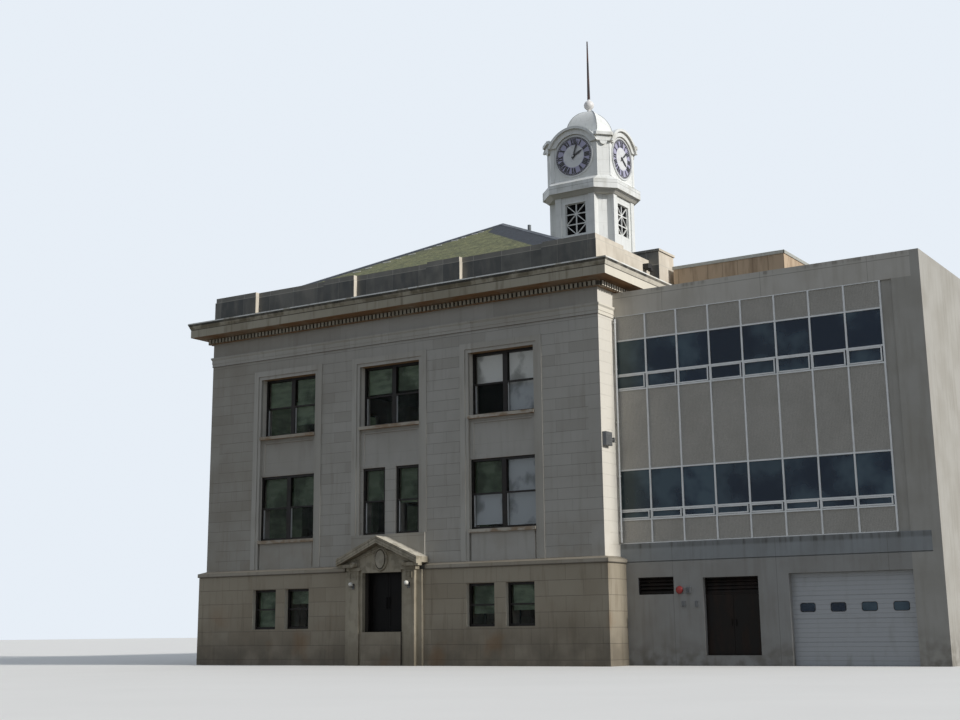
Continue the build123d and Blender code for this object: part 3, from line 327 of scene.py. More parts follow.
# %% [markdown]
# ## Limestone walls
# The walls are smooth limestone laid as ashlar: level courses about 40 cm high, with upright joints that
# break in the middle of the block below. Joints could be modelled, but thousands of thin grooves are heavy
# and cannot be seen from the street, so they are drawn by arithmetic: the whole part of height over course
# numbers the course, and the fraction tells how near a joint is. A random number for each block shades it,
# and noise stretched downward draws the streaks that rain leaves.


# %% Ashlar
def ashlar(finish, course, block, foot=0.0, joint=0.009, start=0.0):
    """Returns a mask of the joints and a random number for each block of a coursed wall."""
    level = (finish.z - foot) / course
    row = level.floor()
    across = (finish.along_wall() - start) / block + (row / 2).fraction()
    beds, sides = ((way.to_whole() * size).ramp(joint * 0.3, joint, 1.0, 0.0)
                   for way, size in ((level, course), (across, block)))
    return beds.at_least(sides * 0.6), finish.chance(row, across.floor())


def weather(finish, dirty, stain, joints, tone, streaks):
    """Tints stone with block tones, soft clouds, rain streaks and darker joints."""
    finish.tint(tone * 0.18 + tone.ramp(0.8, 0.9) * 0.22, dirty)
    finish.tint(finish.noise(2.4, 4.0).ramp(0.42, 0.72) * 0.4, dirty)
    finish.tint(finish.streaks(0.22, 9, 0.5, 0.76) * streaks, stain)
    finish.tint(joints * 0.55, (84, 78, 70))


def grained(finish, joints, size, detail, relief, depth, shine=None):
    """Finishes stone with a fine grain and sunk joints. The grain can set a pair of roughnesses too."""
    grain = finish.noise(size, detail)
    others = {"Roughness": grain.ramp(0.2, 0.8, *shine)} if shine else {}
    return finish.finished(grain * relief - joints, depth, **others)


ONE_COURSE = 30.0
WALL_FOOT, COURSE, BLOCK, JOINT_START = 3.65, 0.397, 1.175, 7.94
UPPER_APRON, LOWER_APRON, GABLE_BLOCK_JOINT = (7.4, 8.86), (3.6, 4.72), (4.66, 4.675)
APRON_HEAD_LINE, APRON_FOOT_LINE = (8.71, 8.72), (7.86, 7.868)
FRIEZE_FOOT, FRIEZE_BLOCK = 12.49, 2.4
BAY, SIDE_BAY, APRON_HALF, MIDDLE_Y = 5.04, 5.15, 1.42, 17.0
GABLE_BLOCK_FRONT = -0.03
wall = Finish("limestone_ashlar", (178, 176, 170), 0.82)
plain_joints, plain_tone = ashlar(wall, COURSE, BLOCK, WALL_FOOT, start=JOINT_START)
frieze_joints, frieze_tone = ashlar(wall, ONE_COURSE, FRIEZE_BLOCK)
in_frieze = wall.z > FRIEZE_FOOT
bay = either(wall.sideways(), wall.x / BAY + 0.5, (wall.y - MIDDLE_Y) / SIDE_BAY)
off_bay = abs(bay.fraction() - 0.5) * BAY
in_apron = (off_bay < APRON_HALF) * (wall.z.band(*UPPER_APRON) + wall.z.band(*LOWER_APRON))
apron_lines = wall.z.band(*APRON_HEAD_LINE, 0.006) + wall.z.band(*APRON_FOOT_LINE, 0.005) * 0.5
joints = either(in_apron, either(in_frieze, plain_joints, frieze_joints), apron_lines)
behind_gable = wall.y < GABLE_BLOCK_FRONT
joints = either(behind_gable, joints, wall.z.band(*GABLE_BLOCK_JOINT, 0.006))
tone = either(in_frieze, plain_tone, frieze_tone) * (1 - in_apron)
weather(wall, (148, 144, 136), (126, 117, 102), joints, tone, 0.25)
wall.tint(behind_gable * 0.35, (150, 143, 128))
# Near the left corner the front is painted darker and browner: painted shade of trees.
near_corner = (1 - wall.x.ramp(-9.5, 1.0)) * (1 - wall.sideways())
wall.tint(near_corner * wall.noise(1.6, 4.0).ramp(0.2, 0.7, 0.2, 0.5), (132, 124, 108))
# Faces that look right are painted lighter: painted sunlight.
wall.tint(wall.sunny_face() * 0.7, (240, 235, 224))
low_grime = (1 - wall.z.ramp(3.7, 5.6)) * wall.noise(0.9, 4.0).ramp(0.4, 0.7)
wall.tint(low_grime * 0.3, (140, 126, 104))
# Undersides are painted brown and darker: brown stain with painted shade.
wall.tint(wall.underside(), (122, 94, 62))
cover(grained(wall, joints, 0.02, 2.0, 0.2, 0.006, (0.74, 0.92)),
      "upper_wall_front", "upper_wall_back", "upper_wall_left", "upper_wall_right")

# %% [markdown]
# ## The plinth storey
# Below the belt course the blocks are larger and the stone is browner, darkest where the ground splashes
# it. The same arithmetic serves with a taller course. The jambs of the windows, which look at the sun, are
# painted light as painted sunlight, and those beside the door are painted near black.

# %% Plinth stone
PLINTH_FOOT, PLINTH_COURSE, PLINTH_BLOCK = 0.2, 0.535, 1.4
plinth = Finish("plinth_stone", (166, 157, 140), 0.88)
joints, tone = ashlar(plinth, PLINTH_COURSE, PLINTH_BLOCK, PLINTH_FOOT, 0.011)
weather(plinth, (136, 125, 107), (110, 98, 80), joints, tone, 0.45)
splash = (1 - plinth.z.ramp(0.1, 2.1)) * plinth.noise(0.8, 4.0).ramp(0.25, 0.65, 0.35, 1.0)
plinth.tint(splash * 0.7, (92, 85, 74))
rusty = plinth.noise(1.5, 3.0).ramp(0.55, 0.75) * (1 - plinth.z.ramp(1.5, 2.6))
plinth.tint(rusty * 0.4, (136, 100, 62))
# Undersides are painted browner and darker: brown stain with painted shade.
plinth.tint(plinth.underside(), (150, 122, 88))
# Window jambs that look right are painted light, a painted sunlight; beside the door they are painted near
# black.
in_jamb = (plinth.nx > 0.6) * (abs(plinth.x) < 9.0)
beside_door = abs(plinth.x) < 1.5
plinth.tint(in_jamb * (1 - beside_door) * 0.7, (226, 220, 204))
plinth.tint(in_jamb * beside_door * 0.9, (34, 31, 28))
cover(grained(plinth, joints, 0.03, 3.0, 0.35, 0.008, (0.8, 0.95)),
      "basement_wall_front", "basement_wall_back", "basement_side_walls", "entrance_threshold")

# %% [markdown]
# ## Mouldings, surrounds and sills
# The belt course, the architrave, the cornice and the window surrounds are long stones with upright joints
# only. Rain runs off their ledges and leaves their tops dark, and their soffits are painted brown and
# darker, brown stain with painted shade, so the finish asks which way a face looks: straight down, straight
# up or out.


# %% Moulded stone
def moulded(name, rgb, dirty, stain, length, streaks, soffit=(120, 86, 52), top=(84, 80, 72)):
    """A finish for long stones, with its own length between joints."""
    finish = Finish(name, rgb, 0.84)
    joints, tone = ashlar(finish, 40.0, length, -3.0, 0.011)
    weather(finish, dirty, stain, joints, tone, streaks)
    patchy = finish.noise(0.9, 4.0).ramp(0.3, 0.62)
    # Undersides: brown stain with painted shade.
    finish.tint(finish.underside() * (0.6 + patchy * 0.4), soffit)
    finish.tint(finish.upper_face() * 0.6, top)
    return finish, joints


BLOCK_HALF = 9.15
ARCHITRAVE_LINE, BELT_SHADOW, BELT_LINE = (12.092, 12.112), (3.415, 3.45), (3.555, 3.565)
trim, joints = moulded("moulded_stone", (184, 182, 175), (156, 151, 141), (126, 114, 96), 1.9, 0.3)
trim.tint(trim.z.band(*ARCHITRAVE_LINE) * 0.75, (58, 58, 56))
# Faces that look right, on the block's right flank, are painted lighter: painted sunlight.
trim.tint(trim.sunny_face() * (trim.x > 9) * 0.75, (240, 234, 220))
cover(grained(trim, joints, 0.02, 2.0, 0.2, 0.006, (0.76, 0.92)), "architrave_band", "window_surrounds")

belt, joints = moulded("belt_stone", (170, 163, 150), (140, 130, 112), (110, 96, 76), 1.9, 0.4,
                       top=(120, 112, 98))
belt.tint(belt.z.band(*BELT_SHADOW) * 0.7, (64, 60, 54))
belt.tint(belt.z.band(*BELT_LINE) * 0.5, (84, 79, 70))
cover(grained(belt, joints, 0.02, 2.0, 0.2, 0.006), "belt_course")

sill, _ = moulded("sill_stone", (188, 183, 172), (150, 138, 118), (112, 86, 56), 3.2, 0.4)
sill.tint(sill.noise(0.45, 3.0, stretch=(1, 1, 0.5)).ramp(0.42, 0.62) * 0.65, (124, 96, 64))
cover(sill.finished(sill.noise(0.02, 2.0), 0.003), "window_sills")

# %% [markdown]
# ## The cornice
# The cornice is a stack of bands that look different. Its lip is edged with a thin painted highlight over a
# band painted near black, the curved cyma below carries olive stains, and a painted shadow line parts it
# from the flat corona. Height alone tells these bands apart, because the cornice is level all round.

# %% Cornice stone
CORNICE_STONE_LENGTH = 1.12
DENTIL_BAND, DARK_GAP, CYMA_FOOT = (13.08, 13.246), (13.635, 13.668), 13.67
OLIVE_TOP, DARK_LIP_BAND, LIT_EDGE_BAND = 13.84, (13.80, 13.885), (13.885, 13.95)
cornice, joints = moulded("cornice_stone", (176, 170, 154), (138, 130, 112), (96, 86, 66),
                          CORNICE_STONE_LENGTH, 0.6)
dapple = cornice.noise(0.5, 5.0)
# Faces that look right, on the block's right flank, are painted lighter as painted sunlight, and carry less
# olive stain.
sunny = cornice.sunny_face() * (cornice.x > 9)
cornice.tint(sunny * 0.75, (242, 236, 222))
cyma_joints, _ = ashlar(cornice, 40.0, CORNICE_STONE_LENGTH, -3.0, 0.011, CORNICE_STONE_LENGTH / 2)
cornice.tint(cornice.z.band(CYMA_FOOT, 13.90) * cyma_joints * 0.6, (70, 66, 56))
olive = cornice.z.band(CYMA_FOOT, OLIVE_TOP, 0.03) * dapple.ramp(0.4, 0.58)
cornice.tint(olive * (0.75 - sunny * 0.6), (92, 84, 64))
# A band under the lip is painted near black.
cornice.tint(cornice.z.band(*DARK_LIP_BAND) * dapple.ramp(0.3, 0.6, 0.65, 0.95), (42, 42, 39))
# The undercut between cyma and corona is painted dark: a painted shadow line.
cornice.tint(cornice.z.band(*DARK_GAP, 0.004) * 0.8, (44, 40, 34))
# The top edge of the lip is painted as a thin light line: a painted highlight.
lit_edge = cornice.z.band(*LIT_EDGE_BAND, 0.003) * (1 - cornice.upper_face())
cornice.tint(lit_edge * dapple.ramp(0.36, 0.46, 0.2, 0.95), (236, 238, 236))
# Between the dentils the bed moulding is painted dark: painted shade.
beyond_wall = (abs(cornice.x) - BLOCK_HALF).at_least(abs(cornice.y - MIDDLE_Y) - 17.0)
between_teeth = cornice.z.band(*DENTIL_BAND) * (1 - beyond_wall.ramp(0.232, 0.25))
cornice.tint(between_teeth * 0.85, (40, 32, 24))
cornice_stone = grained(cornice, joints, 0.03, 3.0, 0.3, 0.008, (0.78, 0.95))
cover(cornice_stone, "cornice_ends", "cornice_sides")

# %% [markdown]
# ## The parapet
# Nothing shelters the parapet, so soot and lichen have turned it nearly black, with pale streaks where
# water runs down from the joints of the coping. The side that looks at the sun is painted lighter: painted
# sunlight.

# %% Parapet stone
COPING_FOOT = 14.87
parapet = Finish("parapet_stone", (124, 124, 120), 0.9)
joints, tone = ashlar(parapet, ONE_COURSE, 1.26, 0.0, 0.018)
on_coping = parapet.z.ramp(COPING_FOOT - 0.005, COPING_FOOT + 0.005)
streak = parapet.streaks(0.34, 4, 0.42, 0.7)
cloud = parapet.noise(0.8, 5.0).ramp(0.35, 0.7)
parapet.tint(tone * 0.9, (80, 83, 84))
parapet.tint(streak * 0.35, (150, 146, 138))
parapet.tint(cloud * 0.55, (70, 73, 74))
parapet.tint(on_coping * 0.5, (148, 146, 139))
# The side that looks right is painted lighter: painted sunlight, with pale streaks.
painted_sunlit = parapet.mix(streak * 0.4, (222, 214, 200), (180, 170, 154))
parapet.tint(parapet.nx.ramp(0.5, 0.9), parapet.mix(cloud * 0.35, painted_sunlit, (176, 167, 152)))
parapet.tint(joints * (0.2 + on_coping * 0.5), (206, 203, 194))
parapet.tint(parapet.z.band(COPING_FOOT - 0.022, COPING_FOOT + 0.005) * 0.6, (186, 183, 174))
cover(grained(parapet, joints, 0.025, 3.0, 0.5, 0.01, (0.82, 0.96)),
      "parapet_ends", "parapet_sides", "parapet_coping", "roof_blocks")

# %% [markdown]
# ## The portal's stone
# The portal is carved from a warmer, greyer stone than the wall, with lichen under its bed mouldings and
# dark grime in the deep corners. Pointiness could find such corners, but it needs a dense mesh, so noise
# and height place the grime instead. The oval shield stands clear of the gable by a drawn shadow.

# %% Portal stone
RAKE_PEAK, RAKE_FALL, GABLE_FRONT = 4.68, 0.4324, -0.79
UPPER_STEP, LOWER_STEP = (0.075, 0.095), (0.19, 0.205)
SHIELD_Z, SHIELD_HALF, SHIELD_HALF_HEIGHT = 3.83, 0.21, 0.33
# The portal's upper faces are painted light: a painted highlight. Its soffits are brown stain with painted
# shade.
portal, joints = moulded("portal_stone", (178, 170, 152), (146, 136, 116), (104, 94, 76), 3.0, 0.5,
                         soffit=(104, 94, 78), top=(224, 219, 206))
lichen = portal.noise(0.35, 4.0).ramp(0.5, 0.7) * portal.z.ramp(3.3, 3.8)
portal.tint(lichen * 0.3, (132, 118, 88))
grime = portal.noise(0.26, 4.0).ramp(0.46, 0.62) * portal.z.ramp(2.6, 3.6, 0.3, 0.9)
portal.tint(grime * 0.42, (74, 68, 56))
# Two thin lines parallel to the rake are painted dark: painted shadow lines at the moulding's steps. The
# rake's joints are dark too.
below_peak = RAKE_PEAK - portal.z - abs(portal.x) * RAKE_FALL
steps = below_peak.band(*UPPER_STEP) + below_peak.band(*LOWER_STEP)
rake_joints = (abs(portal.x) + 0.4).line(0.72, 0.012)
portal.tint((portal.y < GABLE_FRONT) * (steps * 0.7).at_least(rake_joints * 0.6), (44, 40, 34))
across, above = portal.x / SHIELD_HALF, (portal.z - SHIELD_Z) / SHIELD_HALF_HEIGHT
oval = (across * across + above * above).root()
portal.tint(oval.band(1.0, 1.14, 0.02) * 0.75, (40, 36, 30))
portal.tint((1 - oval.ramp(0.9, 0.96)) * 0.35, (188, 182, 168))
portal.tint((1 - portal.z.ramp(0.1, 1.6)) * 0.6, (96, 88, 74))
portal_stone = grained(portal, joints, 0.02, 3.0, 0.4, 0.006, (0.78, 0.94))
cover(portal_stone, "portal_pilasters", "portal_pediment")

# %% [markdown]
# ## Shingles
# The roof is asphalt shingle. Shingles are laid in courses about 14 cm apart up the slope, cut into tabs
# that break joint. Height divided by the slope's sine measures the way up the roof, so the course lines
# stay level. Moss covers the shaded slopes, but stops short of the hips, where metal washes it away, and
# leaves the sunny slope bare, dark and slate-blue.

# %% Roof shingles
EAVE_HALF, EAVE_Y, HIP_RUN, EAVE_Z, RIDGE_Z = 8.65, 0.5, 8.03, 14.72, 18.91
SHINGLE_COURSE, TAB = 0.145, 0.31
roof = Finish("mossy_shingles", (112, 112, 84), 0.95)
up_slope = roof.z / math.sin(math.atan2(RIDGE_Z - EAVE_Z, EAVE_HALF)) / SHINGLE_COURSE
row = up_slope.floor()
side_slope = abs(roof.nx) > abs(roof.ny)
tab = either(side_slope, roof.x, roof.y) / TAB + roof.chance(row, 3.0)
edge = up_slope.fraction().ramp(0.0, 0.22, 1.0, 0.0)
slit = tab.to_whole().ramp(0.015, 0.05, 1.0, 0.0)
tab_tone = roof.chance(row, tab.floor())
hip_length = math.hypot(EAVE_HALF, HIP_RUN)
from_end = (MIDDLE_Y - EAVE_Y) - abs(roof.y - MIDDLE_Y)
off_hip = abs((EAVE_HALF - abs(roof.x)) * (HIP_RUN / hip_length) - from_end * (EAVE_HALF / hip_length))
bare_band = 1 - (off_hip + roof.noise(0.3) * 0.1 - roof.x.ramp(-0.1, 0.1, 0.0, 0.5)).ramp(0.48, 0.56)
bare = (bare_band * (1 - side_slope)).at_least(roof.nx.ramp(0.15, 0.3))
roof.colour = roof.mix(tab_tone, (104, 108, 74), (78, 82, 58))
roof.tint(roof.noise(0.5, 5.0).ramp(0.4, 0.66) * 0.5, (128, 128, 90))
roof.tint(roof.noise(0.14, 3.0).ramp(0.5, 0.7) * 0.7, (146, 144, 98))
roof.tint(roof.noise(2.6, 4.0).ramp(0.52, 0.74) * 0.4, (76, 76, 60))
roof.tint(bare, roof.mix(tab_tone, (44, 51, 62), (32, 38, 48)))
roof.tint(edge * 0.6, (44, 47, 36))
roof.tint(slit * 0.35, (46, 48, 42))
relief = up_slope.fraction() * -0.8 + roof.noise(0.05, 3.0) * 0.5 - slit * 0.5
cover(roof.finished(relief, 0.02), "roof_planes")

# %% [markdown]
# ## Metal on the roof
# The hips and the ridge are covered with folded sheet, dark slate blue with age. The vent pipe is dull lead.

# %% Flashing and vent
cover(two_tone("dark_flashing", (36, 43, 54), (58, 64, 74), 0.5, (0.42, 0.62), 0.004, 4.0,
               (0.4, 0.7, 0, 0.6)), "hip_flashing")
cover(two_tone("dull_lead", (84, 88, 92), (116, 120, 122), 0.08, (0.45, 0.7), 0.002, 4.0, Metallic=0.5),
      "vent_pipe")

# %% [markdown]
# ## Window frames and glass
# The sashes are folded bronze, nearly black, with lighter wear where hands and rain reach them. A glass that
# really bends light would cost time and show little more, so a pane is a dark gloss that lets the blinds
# behind it show. Its colour carries what it mirrors: dark green clouds with small bright gaps, and on the
# annex the evening blue of the sky.

# %% Bronze and glass
cover(two_tone("bronze_frames", (22, 19, 18), (46, 41, 37), 0.25, (0.38, 0.6), 0.002, 4.0, (0.5, 0.8),
               Specular_IOR_Level=0.2), "upper_windows", "basement_windows", "entrance_frame")

glass = Finish("window_panes", (30, 38, 40), 0.05, Specular_IOR_Level=0.15)
leafy = glass.noise(0.9, 5.0, stretch=(1, 1, 1.3)).ramp(0.45, 0.6)
gaps = glass.noise(0.09, 3.0).ramp(0.66, 0.74) * glass.noise(0.8, 2.0).ramp(0.5, 0.65)
glass.tint(leafy, (22, 34, 22))
glass.tint(gaps * 0.6, (150, 166, 160))
cover(glass.finished(glass.noise(1.1, 2.0), 0.01, Alpha=0.16 + leafy * 0.2), "window_glass")

ANNEX_LEFT, ANNEX_FRONT, MODULE, PANE_SEED = 9.15, 1.15, 1.21, 1.5
tinted = Finish("curtain_panes", (34, 54, 76), 0.05, Specular_IOR_Level=0.2)
drift = tinted.noise(1.6, 3.0)
tinted.tint(drift.ramp(0.42, 0.62), (84, 106, 120))
module_tone = tinted.chance(((tinted.x - ANNEX_LEFT) / MODULE).floor(), PANE_SEED)
tinted.tint(module_tone * 0.4, (30, 40, 52))
tinted.tint((1 - tinted.x.ramp(9.6, 10.8)) * 0.6, (84, 94, 88))
curtain_pane = tinted.finished(drift, 0.01, Alpha=0.78 + drift * 0.15)
cover(curtain_pane, "curtain_glass")

# %% [markdown]
# ## Floors
# The concrete floors are only glimpsed through the windows. They are grey, a little blotchy, and matt.

# %% Concrete
cover(two_tone("plain_concrete", (82, 79, 74), (112, 109, 102), 0.9, 0.9, 0.004, 5.0), "main_floors",
      "annex_floors")

# %% [markdown]
# ## The entrance leaves and lamps
# The leaves are dark bronze with a satin sheen, and lighter streaks run up and down them. The lamp globes
# are opal
# glass: white, glossy, and a little dusty. Their arms are black, below and behind the globes.

# %% Doors and globes
cover(two_tone("door_bronze", (9, 8, 8), (24, 21, 19), (0.18, (1, 1, 5)), (0.34, 0.5), 0.002, 4.0,
               (0.5, 0.8), Specular_IOR_Level=0.08), "entrance_door_left", "entrance_door_right")

opal = Finish("opal_globes", (232, 230, 222), 0.22, Coat_Weight=0.4)
dust = opal.noise(0.05, 4.0)
on_arm = (1 - opal.z.ramp(2.868, 2.872)) + opal.y.ramp(-0.51, -0.505)
opal.tint(dust.ramp(0.5, 0.8) * 0.6, (186, 180, 166))
opal.tint(on_arm.at_most(1.0), (30, 28, 27))
cover(opal.finished(dust, 0.001), "wall_lamps")

# %% [markdown]
# ## White paint on the tower
# The tower is sheeted in painted metal. The paint is clean on top and grey where water stands on its
# ledges. Long soft streaks and a faint seam every 60 cm keep it from looking like plastic, and two fine
# painted shadow lines mark the steps of the skirt. Undersides are painted darker and browner: painted shade.

# %% Tower paint
TOWER_Y, TOWER_HALF = 17.0, 1.73
SKIRT_LEDGE, STAGE_LEDGE = (22.05, 22.6), (24.5, 25.0)
LOW_SKIRT_LINE, HIGH_SKIRT_LINE = (22.34, 22.36), (22.505, 22.535)
paint = Finish("white_paint", (236, 238, 236), 0.5)
cloud = paint.noise(0.7, 4.0).ramp(0.4, 0.7)
paint.tint(paint.streaks(0.10, 10, 0.5, 0.78) * 0.4, (188, 190, 184))
paint.tint(cloud * 0.25, (206, 208, 204))
# Undersides are painted darker and browner: painted shade.
paint.tint((paint.nz * -1).ramp(0.3, 0.9) * 0.6, (176, 164, 138))
ledge_grime = paint.z.band(*SKIRT_LEDGE, 0.12).at_least(paint.z.band(*STAGE_LEDGE, 0.1)) * cloud
paint.tint(ledge_grime * 0.35, (150, 146, 128))
seam = paint.z.line(0.62, 0.010)
paint.tint(seam * 0.16, (120, 122, 120))
# Two painted shadow lines at the steps of the skirt.
step_lines = paint.z.band(*LOW_SKIRT_LINE) + paint.z.band(*HIGH_SKIRT_LINE)
paint.tint(step_lines * 0.55, (110, 112, 108))
cover(paint.finished(paint.noise(0.04) * 0.3 - seam, 0.003, Roughness=cloud.ramp(0.2, 0.8, 0.42, 0.62)),
      "tower_base", "tower_lattice", "tower_skirt", "clock_stage", "arched_cornice", "dome")

# %% [markdown]
# ## Ball and spire
# One turned piece carries both: the ball is painted white, the spire above it is bare iron with rust.
# Height tells them apart.

# %% Finial
BALL_TOP = 27.44
iron = Finish("ball_and_spire", (234, 232, 230), 0.6)
rust = iron.noise(0.12, 4.0, stretch=(1, 1, 4))
iron.tint(rust.ramp(0.55, 0.8) * 0.4, (198, 186, 174))
on_spire = iron.z.ramp(BALL_TOP, BALL_TOP + 0.02)
iron.tint(on_spire, iron.mix(rust.ramp(0.4, 0.7), (34, 30, 32), (84, 52, 42)))
cover(iron.finished(rust, 0.003, Roughness=on_spire * 0.25 + 0.4), "finial")

# %% [markdown]
# ## The clock
# Each dial has a white middle, a lilac-grey ring for the numerals, and a black track with a pale dot for
# every minute inside a white rim. The rings could be separate plates, but they are painted on the real one
# too, so the paint asks how far a point is from the dial's centre. The hands are black enamel.

# %% Dial paint
DIAL_HEIGHT = 23.95
WHITE_TO, TRACK_FROM, TRACK_TO = 0.57, 0.895, 0.98
dial = Finish("painted_dial", (226, 228, 230), 0.4)
offset = either(dial.sideways(), dial.x, dial.y - TOWER_Y)
rise = dial.z - DIAL_HEIGHT
radius = (offset * offset + rise * rise).root()
soil = dial.noise(0.3, 4.0)
dial.tint(radius.ramp(WHITE_TO - 0.01, WHITE_TO + 0.01), (172, 170, 196))
dial.tint(radius.band(TRACK_FROM, TRACK_TO), (18, 17, 20))
dial.tint(radius.ramp(TRACK_TO, TRACK_TO + 0.01), (216, 218, 218))
dial.tint(soil.ramp(0.45, 0.75) * 0.25, (150, 150, 150))
cover(dial.finished(soil, 0.001, Roughness=soil.ramp(0.3, 0.7, 0.34, 0.5)), "clock_dials")

black_enamel = two_tone("black_enamel", (14, 14, 16), (48, 44, 42), 0.05, (0.28, 0.45), spread=(0.6, 0.8))
cover(black_enamel, "front_hour_hand", "front_minute_hand", "right_hour_hand", "right_minute_hand",
      "rear_clock_hands")

# %% [markdown]
# ## The annex's masonry
# The newer wing is plain: a rendered ground floor and end wall, a precast band and a fascia. They are one
# finish with four colours: each is pale, jointed every few metres, streaked by rain and dirty near the
# ground. The penthouse is tan sheeting with upright seams.


# %% Annex masonry
def precast(name, rgb, dirty, grime_top):
    """Pale cast stone, dirty near the ground up to the given height."""
    finish = Finish(name, rgb, 0.85)
    joints, _ = ashlar(finish, 40.0, 3.7, -2.0, 0.014)
    streak = finish.streaks(0.2, 10)
    finish.tint(finish.noise(1.2, 4.0).ramp(0.3, 0.7) * 0.4, dirty)
    finish.tint(streak * 0.35, dirty)
    grime = (1 - finish.z.ramp(0.0, grime_top)) * finish.noise(0.4, 4.0).ramp(0.35, 0.65)
    finish.tint(grime * 0.6, (96, 90, 78))
    finish.tint(joints * 0.6, (84, 80, 72))
    return finish, joints, streak


def cast(finish, joints):
    return grained(finish, joints, 0.03, 3.0, 0.3, 0.008)


BAND_STAIN, BAND_LINE = (3.9, 4.075), (3.44, 3.47)
FASCIA_STAIN, FASCIA_LINE = (12.90, 13.02), (12.81, 12.83)
ground, joints, _ = precast("ground_render", (158, 158, 156), (130, 126, 118), 1.1)
cover(cast(ground, joints), "annex_ground_walls", "annex_door_stones")

band, joints, streak = precast("precast_band", (152, 157, 160), (118, 118, 114), 1.1)
band.tint(band.z.band(*BAND_STAIN, 0.05) * (0.35 + streak * 0.5), (76, 76, 72))
band.tint(band.z.band(*BAND_LINE) * 0.5, (90, 88, 82))
cover(cast(band, joints), "annex_band")

fascia, joints, streak = precast("fascia_panels", (198, 195, 188), (168, 163, 152), 1.5)
fascia.tint(fascia.z.band(*FASCIA_LINE) * 0.6, (104, 100, 92))
fascia.tint(fascia.z.band(*FASCIA_STAIN, 0.03) * streak * 0.5, (112, 106, 96))
cover(cast(fascia, joints), "annex_fascia")

end, joints, _ = precast("end_wall_render", (176, 174, 168), (146, 141, 131), 1.4)
cover(cast(end, joints), "annex_end_wall")

tan = Finish("tan_sheeting", (200, 178, 152), 0.9)
sheet = tan.along_wall().line(0.61, 0.02)
tan.tint(tan.streaks(0.25, 6), (172, 150, 126))
tan.tint(sheet * 0.5, (126, 106, 86))
cover(tan.finished(sheet * -1.0, 0.006), "penthouse")

# %% [markdown]
# ## The curtain wall
# Thin aluminium bars hold panes and panels. A panel is cast with pebbles in its face and fine upright ribs,
# which read as a coarse grey. Voronoi cells give each pebble its own tone.

# %% Curtain wall
satin_aluminium = two_tone("satin_aluminium", (208, 210, 210), (184, 186, 186), 0.4, (0.36, 0.5), detail=4.0,
                           Metallic=0.3)
cover(satin_aluminium, "curtain_frame_front", "curtain_frame_back")

pebbles = Finish("aggregate_panels", (168, 165, 158), 0.9)
speck = pebbles.node("ShaderNodeTexVoronoi", None, {"Vector": pebbles.place, "Scale": 70.0}, "Color")
pebble_tone = pebbles.part(speck, "X")
rib = (pebbles.along_wall() / 0.05).to_whole().ramp(0.05, 0.35)
pebbles.tint(pebble_tone, (196, 193, 186))
pebbles.tint(pebbles.noise(0.9, 4.0).ramp(0.4, 0.7) * 0.25, (150, 147, 140))
pebbles.tint((1 - rib) * 0.2, (126, 122, 114))
cover(pebbles.finished(rib + pebble_tone * 0.4, 0.006), "curtain_panels")

# %% [markdown]
# ## Doors of the annex
# The service doors and louvres are brown paint, nearly black in the shade. The sectional door is pale
# enamelled sheet, pressed with a rib every 15 cm and streaked with dirt towards its foot.

# %% Brown doors, louvres and the sectional door
brown_paint = two_tone("brown_paint", (19, 16, 14), (38, 30, 26), (0.3, (1, 1, 3)), (0.4, 0.62), 0.002, 4.0,
                       (0.4, 0.75), Specular_IOR_Level=0.12)
cover(brown_paint, "annex_louvres", "service_door_left", "service_door_right")

section = Finish("sectional_door", (178, 181, 184), 0.5)
rib = (section.z / 0.1455).to_whole().ramp(0.03, 0.14)
dirt = section.streaks(0.35, 3, 0.5, 0.8)
section.tint(dirt * 0.3 + (1 - section.z.ramp(0.0, 0.7)) * dirt * 0.4, (136, 134, 126))
section.tint((1 - rib) * 0.22, (112, 114, 116))
cover(section.finished(rib, 0.005), "garage_door")

# %% [markdown]
# ## Placing small work on a side
# Every added piece sits on one side of the block or the tower. A side has a middle, a direction along it
# and a direction outward, so a point is told by how far along, how high and how far out it is. A shape
# gathers blocks and turned forms, and becomes one mesh when it is placed.


# %% Sides, shapes and tubes
class Side:
    def __init__(self, origin, along, outward, half):
        self.origin, self.half = Vector((*origin, 0)), half
        self.along, self.outward = Vector((*along, 0)), Vector((*outward, 0))

    def at(self, u, z, out):
        return self.origin + self.along * u + self.outward * out + Vector((0, 0, z))


def four_sides(middle, half_width, half_depth):
    """The four sides of an upright box, each with its middle and directions."""
    x, y = middle
    return {
        "front": Side((x, y - half_depth), (1, 0), (0, -1), half_width),
        "left": Side((x - half_width, y), (0, -1), (-1, 0), half_depth),
        "back": Side((x, y + half_depth), (-1, 0), (0, 1), half_width),
        "right": Side((x + half_width, y), (0, 1), (1, 0), half_depth),
    }


block_sides = four_sides((0, MIDDLE_Y), BLOCK_HALF, 17.0)
tower_sides = four_sides((0, TOWER_Y), TOWER_HALF, TOWER_HALF)
front = block_sides["front"]
annex_side = Side((0, ANNEX_FRONT), (1, 0), (0, -1), 20.2)
flank = Side((BLOCK_HALF, 0), (0, 1), (1, 0), 1)
made_pieces = []


def ridden(made, material, slot, body="building"):
    """Links an object, gives it a finish, and lets it ride on a body."""
    made.data.materials.append(material)
    bpy.context.scene.collection.objects.link(made)
    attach(made, body)
    made_pieces.append(made.name)


